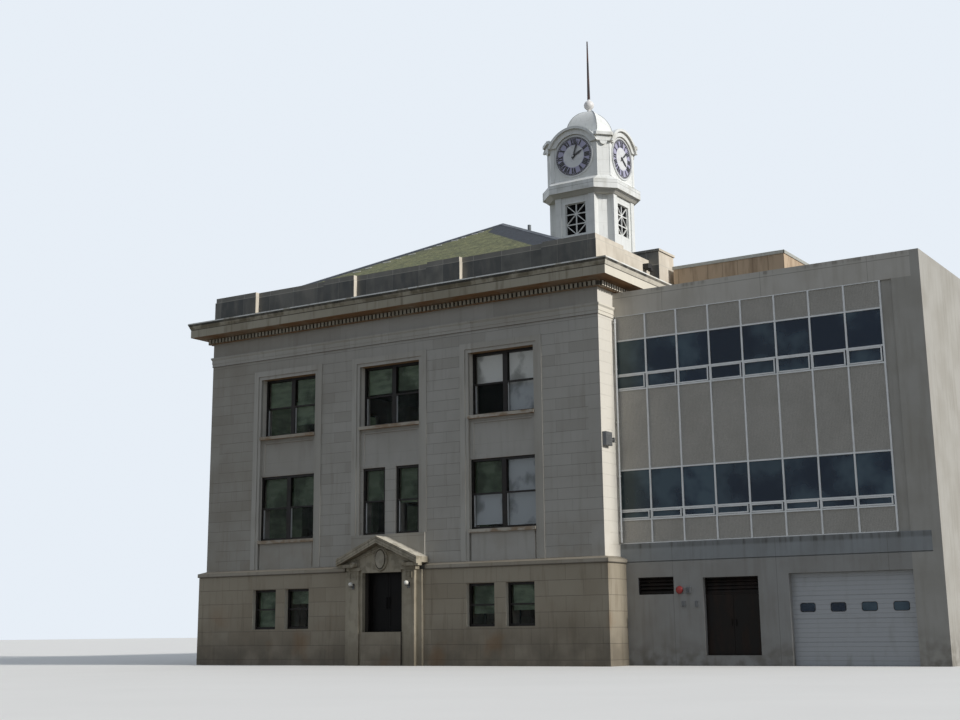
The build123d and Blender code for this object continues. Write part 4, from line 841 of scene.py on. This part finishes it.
class Shape:
    """A mesh under construction."""

    def __init__(self):
        self.points, self.faces = [], []

    def hexahedron(self, eight):
        """Adds eight corners, the low four first, and their six faces."""
        n = len(self.points)
        self.points.extend(eight)
        for face in ((0, 3, 2, 1), (4, 5, 6, 7), (0, 1, 5, 4), (1, 2, 6, 5), (2, 3, 7, 6), (3, 0, 4, 7)):
            self.faces.append(tuple(n + corner for corner in face))

    def brick(self, side, u, z, out):
        """Adds a block between the given pairs along, up and outward."""
        self.hexahedron([side.at(a, c, b) for c in z for a, b in
                         ((u[0], out[1]), (u[1], out[1]), (u[1], out[0]), (u[0], out[0]))])

    def bricks(self, side, *blocks):
        for block in blocks:
            self.brick(side, *block)

    def border(self, side, u, z, out, width):
        """Adds four bars round a rectangle, inside its edges."""
        (left, right), (low, high) = u, z
        between = (left + width, right - width)
        self.bricks(side, ((left, left + width), z, out), ((right - width, right), z, out),
                    (between, (low, low + width), out), (between, (high - width, high), out))

    def turned(self, at, profile, around):
        """Adds rings of (distance along, radius), closed at both ends. at places a point."""
        n = len(self.points)
        for along, radius in profile:
            for i in range(around):
                angle = 2 * math.pi * i / around
                self.points.append(at(radius * math.cos(angle), radius * math.sin(angle), along))
        for ring in range(len(profile) - 1):
            for i in range(around):
                a, b = n + ring * around + i, n + ring * around + (i + 1) % around
                self.faces.append((a, b, b + around, a + around))
        self.faces.append(tuple(n + i for i in reversed(range(around))))
        self.faces.append(tuple(n + (len(profile) - 1) * around + i for i in range(around)))

    def place(self, name, material, slot, bevel=0.0, smooth=False):
        """Makes the mesh piece, in the shared frame."""
        mesh = bpy.data.meshes.new(name)
        mesh.from_pydata([tuple(p) for p in self.points], [], self.faces)
        mesh.polygons.foreach_set("use_smooth", [smooth] * len(self.faces))
        mesh.update()
        made = bpy.data.objects.new(name, mesh)
        if bevel:
            edge = made.modifiers.new("edges", "BEVEL")
            edge.width, edge.segments = bevel, 2
            edge.limit_method = "ANGLE"
        ridden(made, material, slot)
        print(name, "faces:", len(self.faces))


def tube(name, lines, radius, material, slot, closed=False):
    """Makes round bars along lists of points, each as one spline of a curve."""
    curve = bpy.data.curves.new(name, "CURVE")
    curve.dimensions = "3D"
    curve.bevel_depth, curve.bevel_resolution = radius, 3
    curve.use_fill_caps = True
    for line in lines:
        spline = curve.splines.new("POLY")
        spline.points.add(len(line) - 1)
        for point, place in zip(spline.points, line):
            point.co = (*place, 1)
        spline.use_cyclic_u = closed
        spline.use_smooth = True
    ridden(bpy.data.objects.new(name, curve), material, slot)
    print(name, "lines:", len(lines))


# %% [markdown]
# ## Dentils
# Under the cornice runs a row of small square teeth, about one every 18 cm. They catch the light one by one
# and are what the eye reads as a carved cornice. Each is a real block with softened edges, standing on the
# bed moulding.

# %% Dentils
BED_OUT, DENTIL_PITCH, DENTIL_WIDTH = 0.16, 0.183, 0.108
DENTIL_HEIGHTS, DENTIL_OUT = (13.075, 13.245), (BED_OUT - 0.005, BED_OUT + 0.095)
HALF_DENTIL = DENTIL_WIDTH / 2
dentils = Shape()
for side in block_sides.values():
    count = int(2 * (side.half + BED_OUT) / DENTIL_PITCH)
    for i in range(count):
        middle = (i - (count - 1) / 2) * DENTIL_PITCH
        dentils.brick(side, (middle - HALF_DENTIL, middle + HALF_DENTIL), DENTIL_HEIGHTS, DENTIL_OUT)
dentils.place("dentils", cornice_stone, "limestone", bevel=0.006)

# %% [markdown]
# ## Blinds
# Roller blinds hang behind most of the panes, each drawn down a different way, and they, with the light
# painted on their cloth, are what makes one pane paler than the next. A blind is a thin cloth held flat by a
# bar in its hem.
# On the front they hang as they are seen. On the left they are all down, so that no daylight comes through
# the rooms, and on the other sides chance sets them.

# %% Blinds
# The cloth glows faintly in its own colour: a painted glow that stands in for daylight in the rooms.
cloth = Finish("blind_cloth", (124, 140, 120), 0.9, Emission_Strength=0.12)
fold = cloth.noise(0.6, 3.0, stretch=(1, 1, 0.3))
# In the first storey left of x 5 m the cloth is painted darker green: its colour with a painted reflection
# of trees. Towards the right, from x 2 m to 4 m, and above 3 m it is painted pale: painted sunlight and sky
# reflection, bluish below 10 m.
in_green = (cloth.x < 5.0) * cloth.z.band(6.04, 7.4)
sunlit = cloth.x.ramp(2.0, 4.0) * cloth.z.ramp(3.0, 3.4) * (1 - in_green)
cloth.tint(fold.ramp(0.3, 0.7), (94, 110, 92))
cloth.tint(in_green * 0.5, (62, 72, 58))
cloth.tint(sunlit, (230, 234, 232))
cloth.tint(sunlit * (1 - cloth.z.ramp(9.9, 10.2)) * 0.5, (120, 138, 158))
weave = (cloth.z.line(0.006, 0.002) + cloth.along_wall().line(0.006, 0.002)) * 0.5
blind_cloth = cloth.finished(weave + fold * 0.5, 0.001, Emission_Color=cloth.colour)

# A light is its foot, its head and how far out the blind hangs.
SECOND_LIGHT, FIRST_LIGHT, BASEMENT_LIGHT = (9.02, 11.19, -0.52), (4.87, 7.23, -0.36), (1.44, 2.77, -0.15)
WIDE_LIGHTS, NARROW_LIGHT = ((-1.32, -0.095), (0.095, 1.32)), ((-0.44, 0.44),)
BASEMENT_LIGHTS, DRAWN_LIGHTS = ((-1.3, -0.35), (0.35, 1.3)), ((-1.42, 0.0), (0.0, 1.42))
random.seed(6332)
front_drops = [
    (-BAY, SECOND_LIGHT, WIDE_LIGHTS, (10.12, 9.35)),
    (-BAY, FIRST_LIGHT, WIDE_LIGHTS, (6.03, 6.10)),
    (0.0, SECOND_LIGHT, WIDE_LIGHTS, (10.22, 10.26)),
    (BAY, SECOND_LIGHT, WIDE_LIGHTS, (10.09, 9.02)),
    (BAY, FIRST_LIGHT, WIDE_LIGHTS, (4.95, 4.87)),
    (-0.78, FIRST_LIGHT, NARROW_LIGHT, (6.05,)),
    (0.78, FIRST_LIGHT, NARROW_LIGHT, (5.95,)),
    (-BAY, BASEMENT_LIGHT, BASEMENT_LIGHTS, (1.44, 2.3)),
    (BAY, BASEMENT_LIGHT, BASEMENT_LIGHTS, (1.8, 1.9)),
]
hung = [(front, *drop) for drop in front_drops]
side_bays = [(i - 2.5) * SIDE_BAY for i in range(6)]
for name, bays in (("left", side_bays), ("back", (-BAY, 0.0, BAY)), ("right", side_bays[3:])):
    lights, drawn = WIDE_LIGHTS, (0.35, 0.5, 0.5, 0.7)
    if name == "left":
        lights, drawn = DRAWN_LIGHTS, (1.0, 0.97)
    for middle in bays:
        for light in (SECOND_LIGHT, FIRST_LIGHT):
            low, high, _ = light
            drop = tuple(high - (high - low) * random.choice(drawn) for _ in lights)
            hung.append((block_sides[name], middle, light, lights, drop))
blinds = Shape()
for side, middle, (_, top, back), lights, ends in hung:
    for (left, right), foot in zip(lights, ends):
        width = (middle + left, middle + right)
        blinds.brick(side, width, (foot + 0.02, top), (back - 0.003, back))
        blinds.brick(side, width, (foot, foot + 0.025), (back - 0.012, back + 0.009))
blinds.place("blinds", blind_cloth, "limestone")

# %% [markdown]
# ## Storm-sash tracks
# Down the left edge of every lower light runs a bright metal track for the storm sash. It is only as wide as
# two fingers, and it shows because all round it is nearly black.

# %% Storm-sash tracks
TRACK_WIDTH = 0.03
FRAME_FACES = {SECOND_LIGHT: -0.34, FIRST_LIGHT: -0.18}
MEETING_RAILS = {SECOND_LIGHT: 10.105, FIRST_LIGHT: 6.05}
tracks = Shape()
for side, middle, light, lights, _ in hung:
    if light not in MEETING_RAILS:
        continue
    face = FRAME_FACES[light]
    for left, _ in (lights if lights == NARROW_LIGHT else WIDE_LIGHTS):
        tracks.brick(side, (middle + left - 0.004, middle + left + TRACK_WIDTH),
                     (light[0], MEETING_RAILS[light] - 0.03), (face - 0.10, face - 0.045))
tracks.place("sash_tracks", satin_aluminium, "bronze_frames", bevel=0.003)

# %% [markdown]
# ## Numerals and minute track
# The numerals are Roman, with four written as four strokes, as clocks do. Each is cut from thin plate:
# upright bars for I, a broad and a narrow slanted bar for V and X, and short feet across their ends. The
# dots of the minute track are small square plates on the black ring, larger at the hours.


# %% Dial work
PLATE_OUT = (0.029, 0.036)


def stroke(shape, side, angle, ends, width):
    """Adds a plate between two ends, each told by its distance across a numeral and from the centre."""
    s, c, half = math.sin(angle), math.cos(angle), width / 2
    (foot, low), (head, high) = ends
    flat = ((foot - half, low), (foot + half, low), (head + half, high), (head - half, high))
    shape.hexahedron([side.at(reach * s + across * c, DIAL_HEIGHT + reach * c - across * s, out)
                      for out in PLATE_OUT for across, reach in flat])


NUMERALS = ("XII", "I", "II", "III", "IIII", "V", "VI", "VII", "VIII", "IX", "X", "XI")
WIDTHS = {"I": 0.078, "V": 0.16, "X": 0.16}
FOOT, HEAD, SERIF = 0.61, 0.865, 0.022
BROAD, NARROW = 0.068, 0.034


def numeral(shape, side, hour):
    text = NUMERALS[hour % 12]
    angle = math.radians(30 * hour)
    left = -sum(WIDTHS[c] for c in text) / 2
    for c in text:
        middle = left + WIDTHS[c] / 2
        lean = WIDTHS[c] / 2 - BROAD / 2
        bars = {
            "I": [(middle, middle, BROAD)],
            "V": [(middle, middle - lean, BROAD), (middle, middle + lean, NARROW)],
            "X": [(middle + lean, middle - lean, BROAD), (middle - lean, middle + lean, NARROW)],
        }[c]
        for foot, head, width in bars:
            stroke(shape, side, angle, ((foot, FOOT), (head, HEAD)), width)
        for level in ((HEAD,) if c == "V" else (FOOT, HEAD)):
            stroke(shape, side, angle, ((middle, level - SERIF / 2), (middle, level + SERIF / 2)),
                   WIDTHS[c] * 0.94)
        left += WIDTHS[c]


TRACK_MIDDLE = (TRACK_FROM + TRACK_TO) / 2
numerals, dots = Shape(), Shape()
for side in tower_sides.values():
    for hour in range(12):
        numeral(numerals, side, hour)
    for minute in range(60):
        size = 0.028 if minute % 5 else 0.042
        stroke(dots, side, math.radians(6 * minute),
               ((0, TRACK_MIDDLE - size / 2), (0, TRACK_MIDDLE + size / 2)), size)
numerals.place("clock_numerals", black_enamel, "dial")
pale_dots = two_tone("minute_dots", (214, 212, 220), (180, 178, 190), 0.02, 0.5, 0.0005)
dots.place("minute_dots", pale_dots, "dial")

# %% [markdown]
# ## Screens behind the lattices
# Just behind the lattice in each of the tower's four openings stands a near-black sheet drawn with a fine
# grid. It is painted shade for the tower's inside, so that no daylight shows through from the far side. Each
# screen is a thin framed panel.

# %% Lattice screens
OPENING_HALF, OPENING_FOOT, OPENING_HEAD = 0.56, 19.98, 21.55
SCREEN_LAP, SCREEN_OUT, BEAD_OUT = 0.04, (-0.165, -0.155), (-0.157, -0.147)
shade_screen = Finish("dark_shade_screen", (12, 12, 13), 0.9, Specular_IOR_Level=0.1)
wires = (shade_screen.z.line(0.02, 0.006) + shade_screen.along_wall().line(0.02, 0.006)) * 0.5
shade_screen.tint(wires, (28, 28, 29))
screens = Shape()
for side in tower_sides.values():
    screens.brick(side, (-OPENING_HALF - SCREEN_LAP, OPENING_HALF + SCREEN_LAP),
                  (OPENING_FOOT - SCREEN_LAP, OPENING_HEAD + SCREEN_LAP), SCREEN_OUT)
    screens.border(side, (-OPENING_HALF, OPENING_HALF), (OPENING_FOOT, OPENING_HEAD), BEAD_OUT, 0.03)
screens.place("lattice_screens", shade_screen.finished(wires, 0.001), "dark_metal")

# %% [markdown]
# ## Seams on the dome
# The dome's sheets are folded over one another along its four hips. Painted over many times, the folds show
# as thin grey ribs. Each follows the ellipse that the dome was drawn with, out to its corner.

# %% Dome ribs
DOME_HALF, DOME_SPRING, DOME_TOP = 0.87, 25.48, 26.8
RIB_STEPS, RIB_END, RIB_RADIUS = 16, 86, 0.018
ribs = []
for sx in (-1, 1):
    for sy in (-1, 1):
        rib_line = []
        for i in range(RIB_STEPS):
            angle = math.radians(RIB_END) * i / (RIB_STEPS - 1)
            half = DOME_HALF * math.cos(angle)
            height = DOME_SPRING + (DOME_TOP - DOME_SPRING) * math.sin(angle)
            rib_line.append((sx * half, TOWER_Y + sy * half, height))
        ribs.append(rib_line)
tube("dome_ribs", ribs, RIB_RADIUS, two_tone("seam_paint", (132, 136, 138), (98, 102, 104), 0.08, 0.5),
     "white_metal")

# %% [markdown]
# ## The portal's carving
# Over the door a wreath frames an oval shield, a shell fills the gable's point, and a scroll ends each bed
# moulding. A wreath is a ring that swells and narrows as its leaves overlap, so it is made as one mesh whose
# thickness follows a sine. The shell is a fluted half disc with a back, the scroll is a line wound inward,
# and the pilasters carry small fluted tablets.

# %% Wreath and shell
PORTAL_OUT = 0.45
WREATH_RADII, WREATH_THICKNESS, LEAVES, AROUND = (0.275, 0.385), 0.05, 28, 10
wreath = Shape()
around_wreath = LEAVES * 6
for i in range(around_wreath):
    angle = 2 * math.pi * i / around_wreath
    swell = WREATH_THICKNESS * (0.78 + 0.22 * abs(math.sin(LEAVES * angle / 2)))
    for j in range(AROUND):
        inner = 2 * math.pi * j / AROUND
        stretch = swell * math.cos(inner)
        wreath.points.append(front.at((WREATH_RADII[0] + stretch) * math.cos(angle),
                                      SHIELD_Z + (WREATH_RADII[1] + stretch) * math.sin(angle),
                                      PORTAL_OUT + 0.02 + swell * math.sin(inner)))
        a, b, k = i * AROUND, (i + 1) % around_wreath * AROUND, (j + 1) % AROUND
        wreath.faces.append((a + j, b + j, b + k, a + k))
wreath.place("portal_wreath", portal_stone, "limestone", smooth=True)

SHELL_Z, SHELL_RADIUS, PETALS = 4.235, 0.17, 9
RINGS, SPOKES = 5, 8 * PETALS
shell = Shape()
for lift in (0.05, 0.0):
    for i in range(RINGS + 1):
        for j in range(SPOKES + 1):
            angle = math.pi * j / SPOKES
            flute = abs(math.sin(PETALS * angle))
            reach = SHELL_RADIUS * i / RINGS * (1 + 0.1 * flute)
            out = PORTAL_OUT + 0.005 + (0.01 + lift * flute * i / RINGS if lift else 0.0)
            shell.points.append(front.at(reach * math.cos(angle), SHELL_Z + reach * math.sin(angle), out))
row = SPOKES + 1
sheet = row * (RINGS + 1)
for i in range(RINGS):
    for a in range(i * row, i * row + SPOKES):
        shell.faces.append((a, a + row, a + row + 1, a + 1))
        shell.faces.append((a + sheet, a + sheet + 1, a + sheet + row + 1, a + sheet + row))
rim = [RINGS * row + j for j in range(SPOKES + 1)]
foot = [i * row + SPOKES for i in reversed(range(RINGS))] + [i * row for i in range(1, RINGS + 1)]
loop = rim + foot
for a, b in zip(loop, loop[1:]):
    shell.faces.append((a, a + sheet, b + sheet, b))
shell.place("portal_shell", portal_stone, "limestone")

# %% Scrolls, tablets and rake mouldings
SCROLL_X, SCROLL_Z, SCROLL_OUT, SCROLL_STEPS = 1.15, 3.645, 0.733, 48
SCROLL_RADII, SCROLL_TURNS, SCROLL_THICKNESS = (0.086, 0.02), 2.25, 0.011
scrolls = []
for sign in (-1, 1):
    spiral = []
    for i in range(SCROLL_STEPS):
        part = i / (SCROLL_STEPS - 1)
        angle = 2 * math.pi * SCROLL_TURNS * part
        reach = SCROLL_RADII[0] + (SCROLL_RADII[1] - SCROLL_RADII[0]) * part
        spiral.append(front.at(sign * (SCROLL_X + reach * math.cos(angle)),
                               SCROLL_Z + reach * math.sin(angle), SCROLL_OUT))
    scrolls.append(spiral)
tube("portal_scrolls", scrolls, SCROLL_THICKNESS, portal_stone, "limestone")

TABLET_X, TABLET_HALF, TABLET_HEIGHTS, FLUTE_HEIGHTS = 1.275, 0.15, (3.12, 3.38), (3.17, 3.33)
RAKE_END, RAKE_DROP, RAKE_BAR = 1.84, 0.54, 0.05
INTO_STONE = 0.002
mouldings = Shape()
for sign in (-1, 1):
    middle = sign * TABLET_X
    mouldings.border(front, (middle - TABLET_HALF, middle + TABLET_HALF), TABLET_HEIGHTS,
                     (PORTAL_OUT - INTO_STONE, PORTAL_OUT + 0.03), 0.03)
    for flute in (middle - 0.07, middle, middle + 0.07):
        mouldings.brick(front, (flute - 0.02, flute + 0.02), FLUTE_HEIGHTS,
                        (PORTAL_OUT - INTO_STONE, PORTAL_OUT + 0.025))
    for peak, out in ((4.20, 0.06), (4.15, 0.035)):
        end, top = (sign * RAKE_END, peak - RAKE_DROP), (0.0, peak)
        foot = ((end, out), (top, out), (top, -INTO_STONE), (end, -INTO_STONE))
        mouldings.hexahedron([front.at(u, z + lift, PORTAL_OUT + reach)
                              for lift in (0, RAKE_BAR) for (u, z), reach in foot])
mouldings.place("portal_mouldings", portal_stone, "limestone", bevel=0.006)

# %% [markdown]
# ## Light metal steps along the hip
# Where the shingles meet the left hip, a row of small bent plates carries the water over. Each is level, so
# from the street they read as a line of light dashes climbing the edge. They were nailed by eye, so each
# has its own distance up the hip and in from it, and its own half width.

# %% Hip steps
hip_along = Vector((EAVE_HALF, HIP_RUN)) / hip_length
hip_inward = Vector((HIP_RUN, -EAVE_HALF)) / hip_length
slope = (RIDGE_Z - EAVE_Z) / HIP_RUN
STEP_PLATES = ((5.2, 0.95, 0.20), (5.7, 0.90, 0.16), (6.5, 0.85, 0.20), (7.0, 0.80, 0.14),
               (7.6, 0.80, 0.18), (8.3, 0.75, 0.17), (8.8, 0.70, 0.14), (9.5, 0.65, 0.18),
               (9.9, 0.62, 0.12), (10.4, 0.60, 0.15), (10.7, 0.57, 0.12))
PLATE_HALF_DEPTH, PLATE_THICKNESS = 0.035, 0.03
steps = Shape()
for far, inward, half in STEP_PLATES:
    spot = Vector((-EAVE_HALF, EAVE_Y)) + hip_along * far + hip_inward * inward
    depth = PLATE_HALF_DEPTH
    steps.hexahedron([(spot.x + dx, spot.y + dy, EAVE_Z + (spot.y + dy - EAVE_Y) * slope + lift)
                      for lift in (0.0, PLATE_THICKNESS)
                      for dx, dy in ((-half, -depth), (half, -depth), (half, depth), (-half, depth))])
bright_flashing = two_tone("bright_flashing", (198, 198, 190), (150, 150, 142), 0.1, 0.5, Metallic=0.2)
steps.place("hip_steps", bright_flashing, "roof_metal", bevel=0.004)

# %% [markdown]
# ## Hopper lights in the curtain wall
# Under each tall pane of the annex is a low one that tilts open. It has a frame of its own inside the
# mullions, lighter than they are. Without it, the two panes would look like one with a bar across.

# %% Hopper frames
MULLION, RAIL, MODULES = 0.06, 0.05, 8
HOPPER_ROWS, HOPPER_OUT, HOPPER_BAR = ((4.89, 5.23), (9.45, 10.01)), (-0.041, 0.012), 0.045
hoppers = Shape()
for index in range(MODULES):
    left = ANNEX_LEFT + index * MODULE + MULLION / 2
    for low, high in HOPPER_ROWS:
        hoppers.border(annex_side, (left + 0.012, left + MODULE - MULLION - 0.012),
                       (low + RAIL / 2 + 0.008, high - RAIL / 2 - 0.008), HOPPER_OUT, HOPPER_BAR)
hoppers.place("hopper_frames", satin_aluminium, "curtain_aluminium", bevel=0.004)

# %% [markdown]
# ## Panes in the sectional door
# Four low panes with rounded corners sit in the third section of the door. Each is a thin plate in its
# recess, with a rubber edge.

# %% Sectional door panes
DOOR_LEFT, DOOR_RIGHT, PANE_Z, PANES = 15.2, 19.24, 2.5 * 2.91 / 4, 4
PANE_FRONT, PANE_BACK = 1.383, 1.3949
CORNER_X, CORNER_Z, CORNER_RADIUS, CORNER_STEPS = 0.175, 0.065, 0.07, 6
panes, edge_lines = Shape(), []
for index in range(PANES):
    middle = DOOR_LEFT + (index + 0.5) * (DOOR_RIGHT - DOOR_LEFT) / PANES
    outline = []
    for quarter, (sx, sz) in enumerate(((1, 1), (-1, 1), (-1, -1), (1, -1))):
        for step in range(CORNER_STEPS):
            angle = math.radians(90 * quarter + 90 * step / (CORNER_STEPS - 1))
            outline.append((middle + sx * CORNER_X + CORNER_RADIUS * math.cos(angle),
                            PANE_Z + sz * CORNER_Z + CORNER_RADIUS * math.sin(angle)))
    n, size = len(panes.points), len(outline)
    panes.points += [(u, y, z) for y in (PANE_FRONT, PANE_BACK) for u, z in outline]
    panes.faces.append(tuple(n + i for i in range(size)))
    panes.faces.append(tuple(n + size + i for i in reversed(range(size))))
    for i in range(size):
        j = (i + 1) % size
        panes.faces.append((n + i, n + size + i, n + size + j, n + j))
    edge_lines.append([(u, PANE_FRONT, z) for u, z in outline])
panes.place("sectional_panes", curtain_pane, "window_glass")
rubber_edge = two_tone("rubber_edge", (26, 26, 27), (48, 47, 46), 0.05, 0.7)
tube("pane_edges", edge_lines, 0.010, rubber_edge, "brown_metal", closed=True)

# %% [markdown]
# ## Pipes, boxes and an alarm
# Where the annex meets the old wall a rain pipe comes down in the corner, held by collars. A square lamp
# box with an arm hangs on the old wall's flank, a scupper spills through the parapet, and a red bell with a
# sounder is screwed beside the louvre. They are small, but the eye misses them on a blank wall. A block is
# told by its ends along the wall, its foot and head, and how far out it runs.

# %% Seal and rain pipe
SEAL_WIDTH, SEAL_HEIGHTS, SEAL_OUT = (ANNEX_LEFT + 0.001, ANNEX_LEFT + 0.058), (4.09, 12.14), (-0.001, 0.01)
seal = Shape()
seal.brick(annex_side, SEAL_WIDTH, SEAL_HEIGHTS, SEAL_OUT)
seal.place("corner_seal", rubber_edge, "brown_metal", bevel=0.003)

PIPE_X, PIPE_Y, PIPE_RADIUS, PIPE_HEIGHTS = 9.25, 1.07, 0.038, (4.12, 8.0, 12.05)
COLLAR_HEIGHTS, COLLAR_TALL, COLLAR_RADII = (4.5, 6.4, 8.3, 10.2, 11.9), 0.045, (0.036, 0.05)
tube("corner_pipe", [[(PIPE_X, PIPE_Y, z) for z in PIPE_HEIGHTS]], PIPE_RADIUS, satin_aluminium,
     "curtain_aluminium")
collars = Shape()
inner, outer = COLLAR_RADII
for z in COLLAR_HEIGHTS:
    collars.turned(lambda a, b, h, z=z: (PIPE_X + a, PIPE_Y + b, z + h),
                   ((0, inner), (0, outer), (COLLAR_TALL, outer), (COLLAR_TALL, inner)), 16)
    collars.brick(annex_side, (PIPE_X - 0.015, PIPE_X + 0.015), (z + 0.008, z + 0.038), (-0.001, 0.06))
collars.place("pipe_collars", satin_aluminium, "curtain_aluminium")

# %% Lamp box and scupper
grey_paint = two_tone("grey_box_paint", (88, 91, 94), (116, 118, 119), 0.1, (0.4, 0.6))
BOX_BODY = ((0.04, 0.50), (7.42, 7.90), (0.002, 0.16))
BOX_LID = ((0.07, 0.47), (7.45, 7.87), (0.16, 0.175))
BOX_SLATS = [((0.11, 0.43), (z, z + 0.03), (0.175, 0.19)) for z in (7.52, 7.60, 7.68, 7.76)]
BOX_ARM = ((0.50, 0.78), (7.64, 7.69), (0.03, 0.08))
ARM_END = ((0.74, 0.80), (7.58, 7.75), (0.002, 0.11))
lamp_box = Shape()
lamp_box.bricks(flank, BOX_BODY, BOX_LID, *BOX_SLATS, BOX_ARM, ARM_END)
lamp_box.place("flank_lamp_box", grey_paint, "dark_metal", bevel=0.008)

SCUPPER_HEAD = ((4.14, 4.46), (14.60, 14.80), (-0.25, 0.04))
SCUPPER_SPOUT = ((4.22, 4.38), (14.50, 14.62), (-0.03, 0.12))
scupper = Shape()
scupper.bricks(flank, SCUPPER_HEAD, SCUPPER_SPOUT)
scupper.place("parapet_scupper", rubber_edge, "roof_metal", bevel=0.01)

# %% Bell, sounder and boxes
BELL_X, BELL_Z = 11.35, 2.47
BELL_PROFILE = ((0.0, 0.055), (0.05, 0.055), (0.052, 0.128), (0.06, 0.132), (0.085, 0.118), (0.105, 0.085),
                (0.116, 0.045), (0.119, 0.012))
bell = Shape()
bell.turned(lambda a, b, out: annex_side.at(BELL_X + a, BELL_Z + b, out), BELL_PROFILE, 28)
red_enamel = two_tone("red_enamel", (156, 34, 30), (108, 30, 28), 0.04, 0.35, spread=(0.55, 0.75))
bell.place("alarm_bell", red_enamel, "brown_metal", smooth=True)

SOUNDER_BODY = ((11.58, 11.76), (2.36, 2.56), (-0.001, 0.09))
SOUNDER_SLATS = [((11.62, 11.72), (z, z + 0.012), (0.088, 0.1)) for z in (2.415, 2.445, 2.475, 2.505)]
LEFT_BOX = ((11.41, 11.53), (1.92, 2.10), (-0.001, 0.06))
LEFT_LID = ((11.43, 11.51), (1.95, 2.07), (0.06, 0.068))
RIGHT_BOX = ((11.89, 11.99), (1.90, 2.10), (-0.001, 0.05))
RIGHT_LID = ((11.91, 11.97), (1.94, 2.06), (0.05, 0.057))
boxes = Shape()
boxes.bricks(annex_side, SOUNDER_BODY, *SOUNDER_SLATS, LEFT_BOX, LEFT_LID, RIGHT_BOX, RIGHT_LID)
boxes.border(annex_side, (11.60, 11.74), (2.38, 2.54), (0.09, 0.105), 0.02)
boxes.place("wall_boxes", grey_paint, "dark_metal", bevel=0.006)

# %% [markdown]
# ## Edge trim
# The penthouse's roof ends in thin folded metal, which draws a light line against the sky.

# %% Edge trim
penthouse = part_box("penthouse")
(low_x, low_y, _), (high_x, high_y, high_z) = penthouse
middle = ((low_x + high_x) / 2, (low_y + high_y) / 2)
trim = Shape()
for side in four_sides(middle, (high_x - low_x) / 2, (high_y - low_y) / 2).values():
    trim.brick(side, (-side.half - 0.03, side.half + 0.03), (high_z - 0.13, high_z - 0.002), (-0.01, 0.03))
trim.place("penthouse_trim", bright_flashing, "roof_metal", bevel=0.006)

# %% [markdown]
# ## The floor
# A wide pale floor takes the building's shadow. Grass and paving would throw back less light than a pale
# studio floor does, so to soft light the floor is a darker grey than it is to the camera. It isn't part of
# the building.

# %% Floor
REACH, FLOOR_Z = 700, -0.003
pale = Finish("pale_floor", (242, 241, 238), 0.9)
pale.tint(pale.noise(4.0, 4.0), (234, 233, 230))
floor_material = pale.finished()
dull = pale.node("ShaderNodeBsdfDiffuse", None, {"Color": linear((132, 130, 124))})
bright = Signal(pale, pale.shader.outputs["BSDF"])
pale.feed(pale.tree.nodes["Material Output"].inputs["Surface"],
          pale.node("ShaderNodeMixShader", None, {0: pale.seen_directly(), 1: dull, 2: bright}))
floor_corners = [(sx * REACH, sy * REACH, FLOOR_Z) for sx, sy in ((-1, -1), (1, -1), (1, 1), (-1, 1))]
floor_mesh = bpy.data.meshes.new("floor")
floor_mesh.from_pydata(floor_corners, [], [(0, 1, 2, 3)])
floor_mesh.materials.append(floor_material)
floor = bpy.data.objects.new("floor", floor_mesh)
bpy.context.scene.collection.objects.link(floor)
print("floor:", 2 * REACH, "m across")

# %% [markdown]
# ## The end
# The script ends by printing how many pieces it added.

# %% End
print("pieces added:", len(made_pieces))
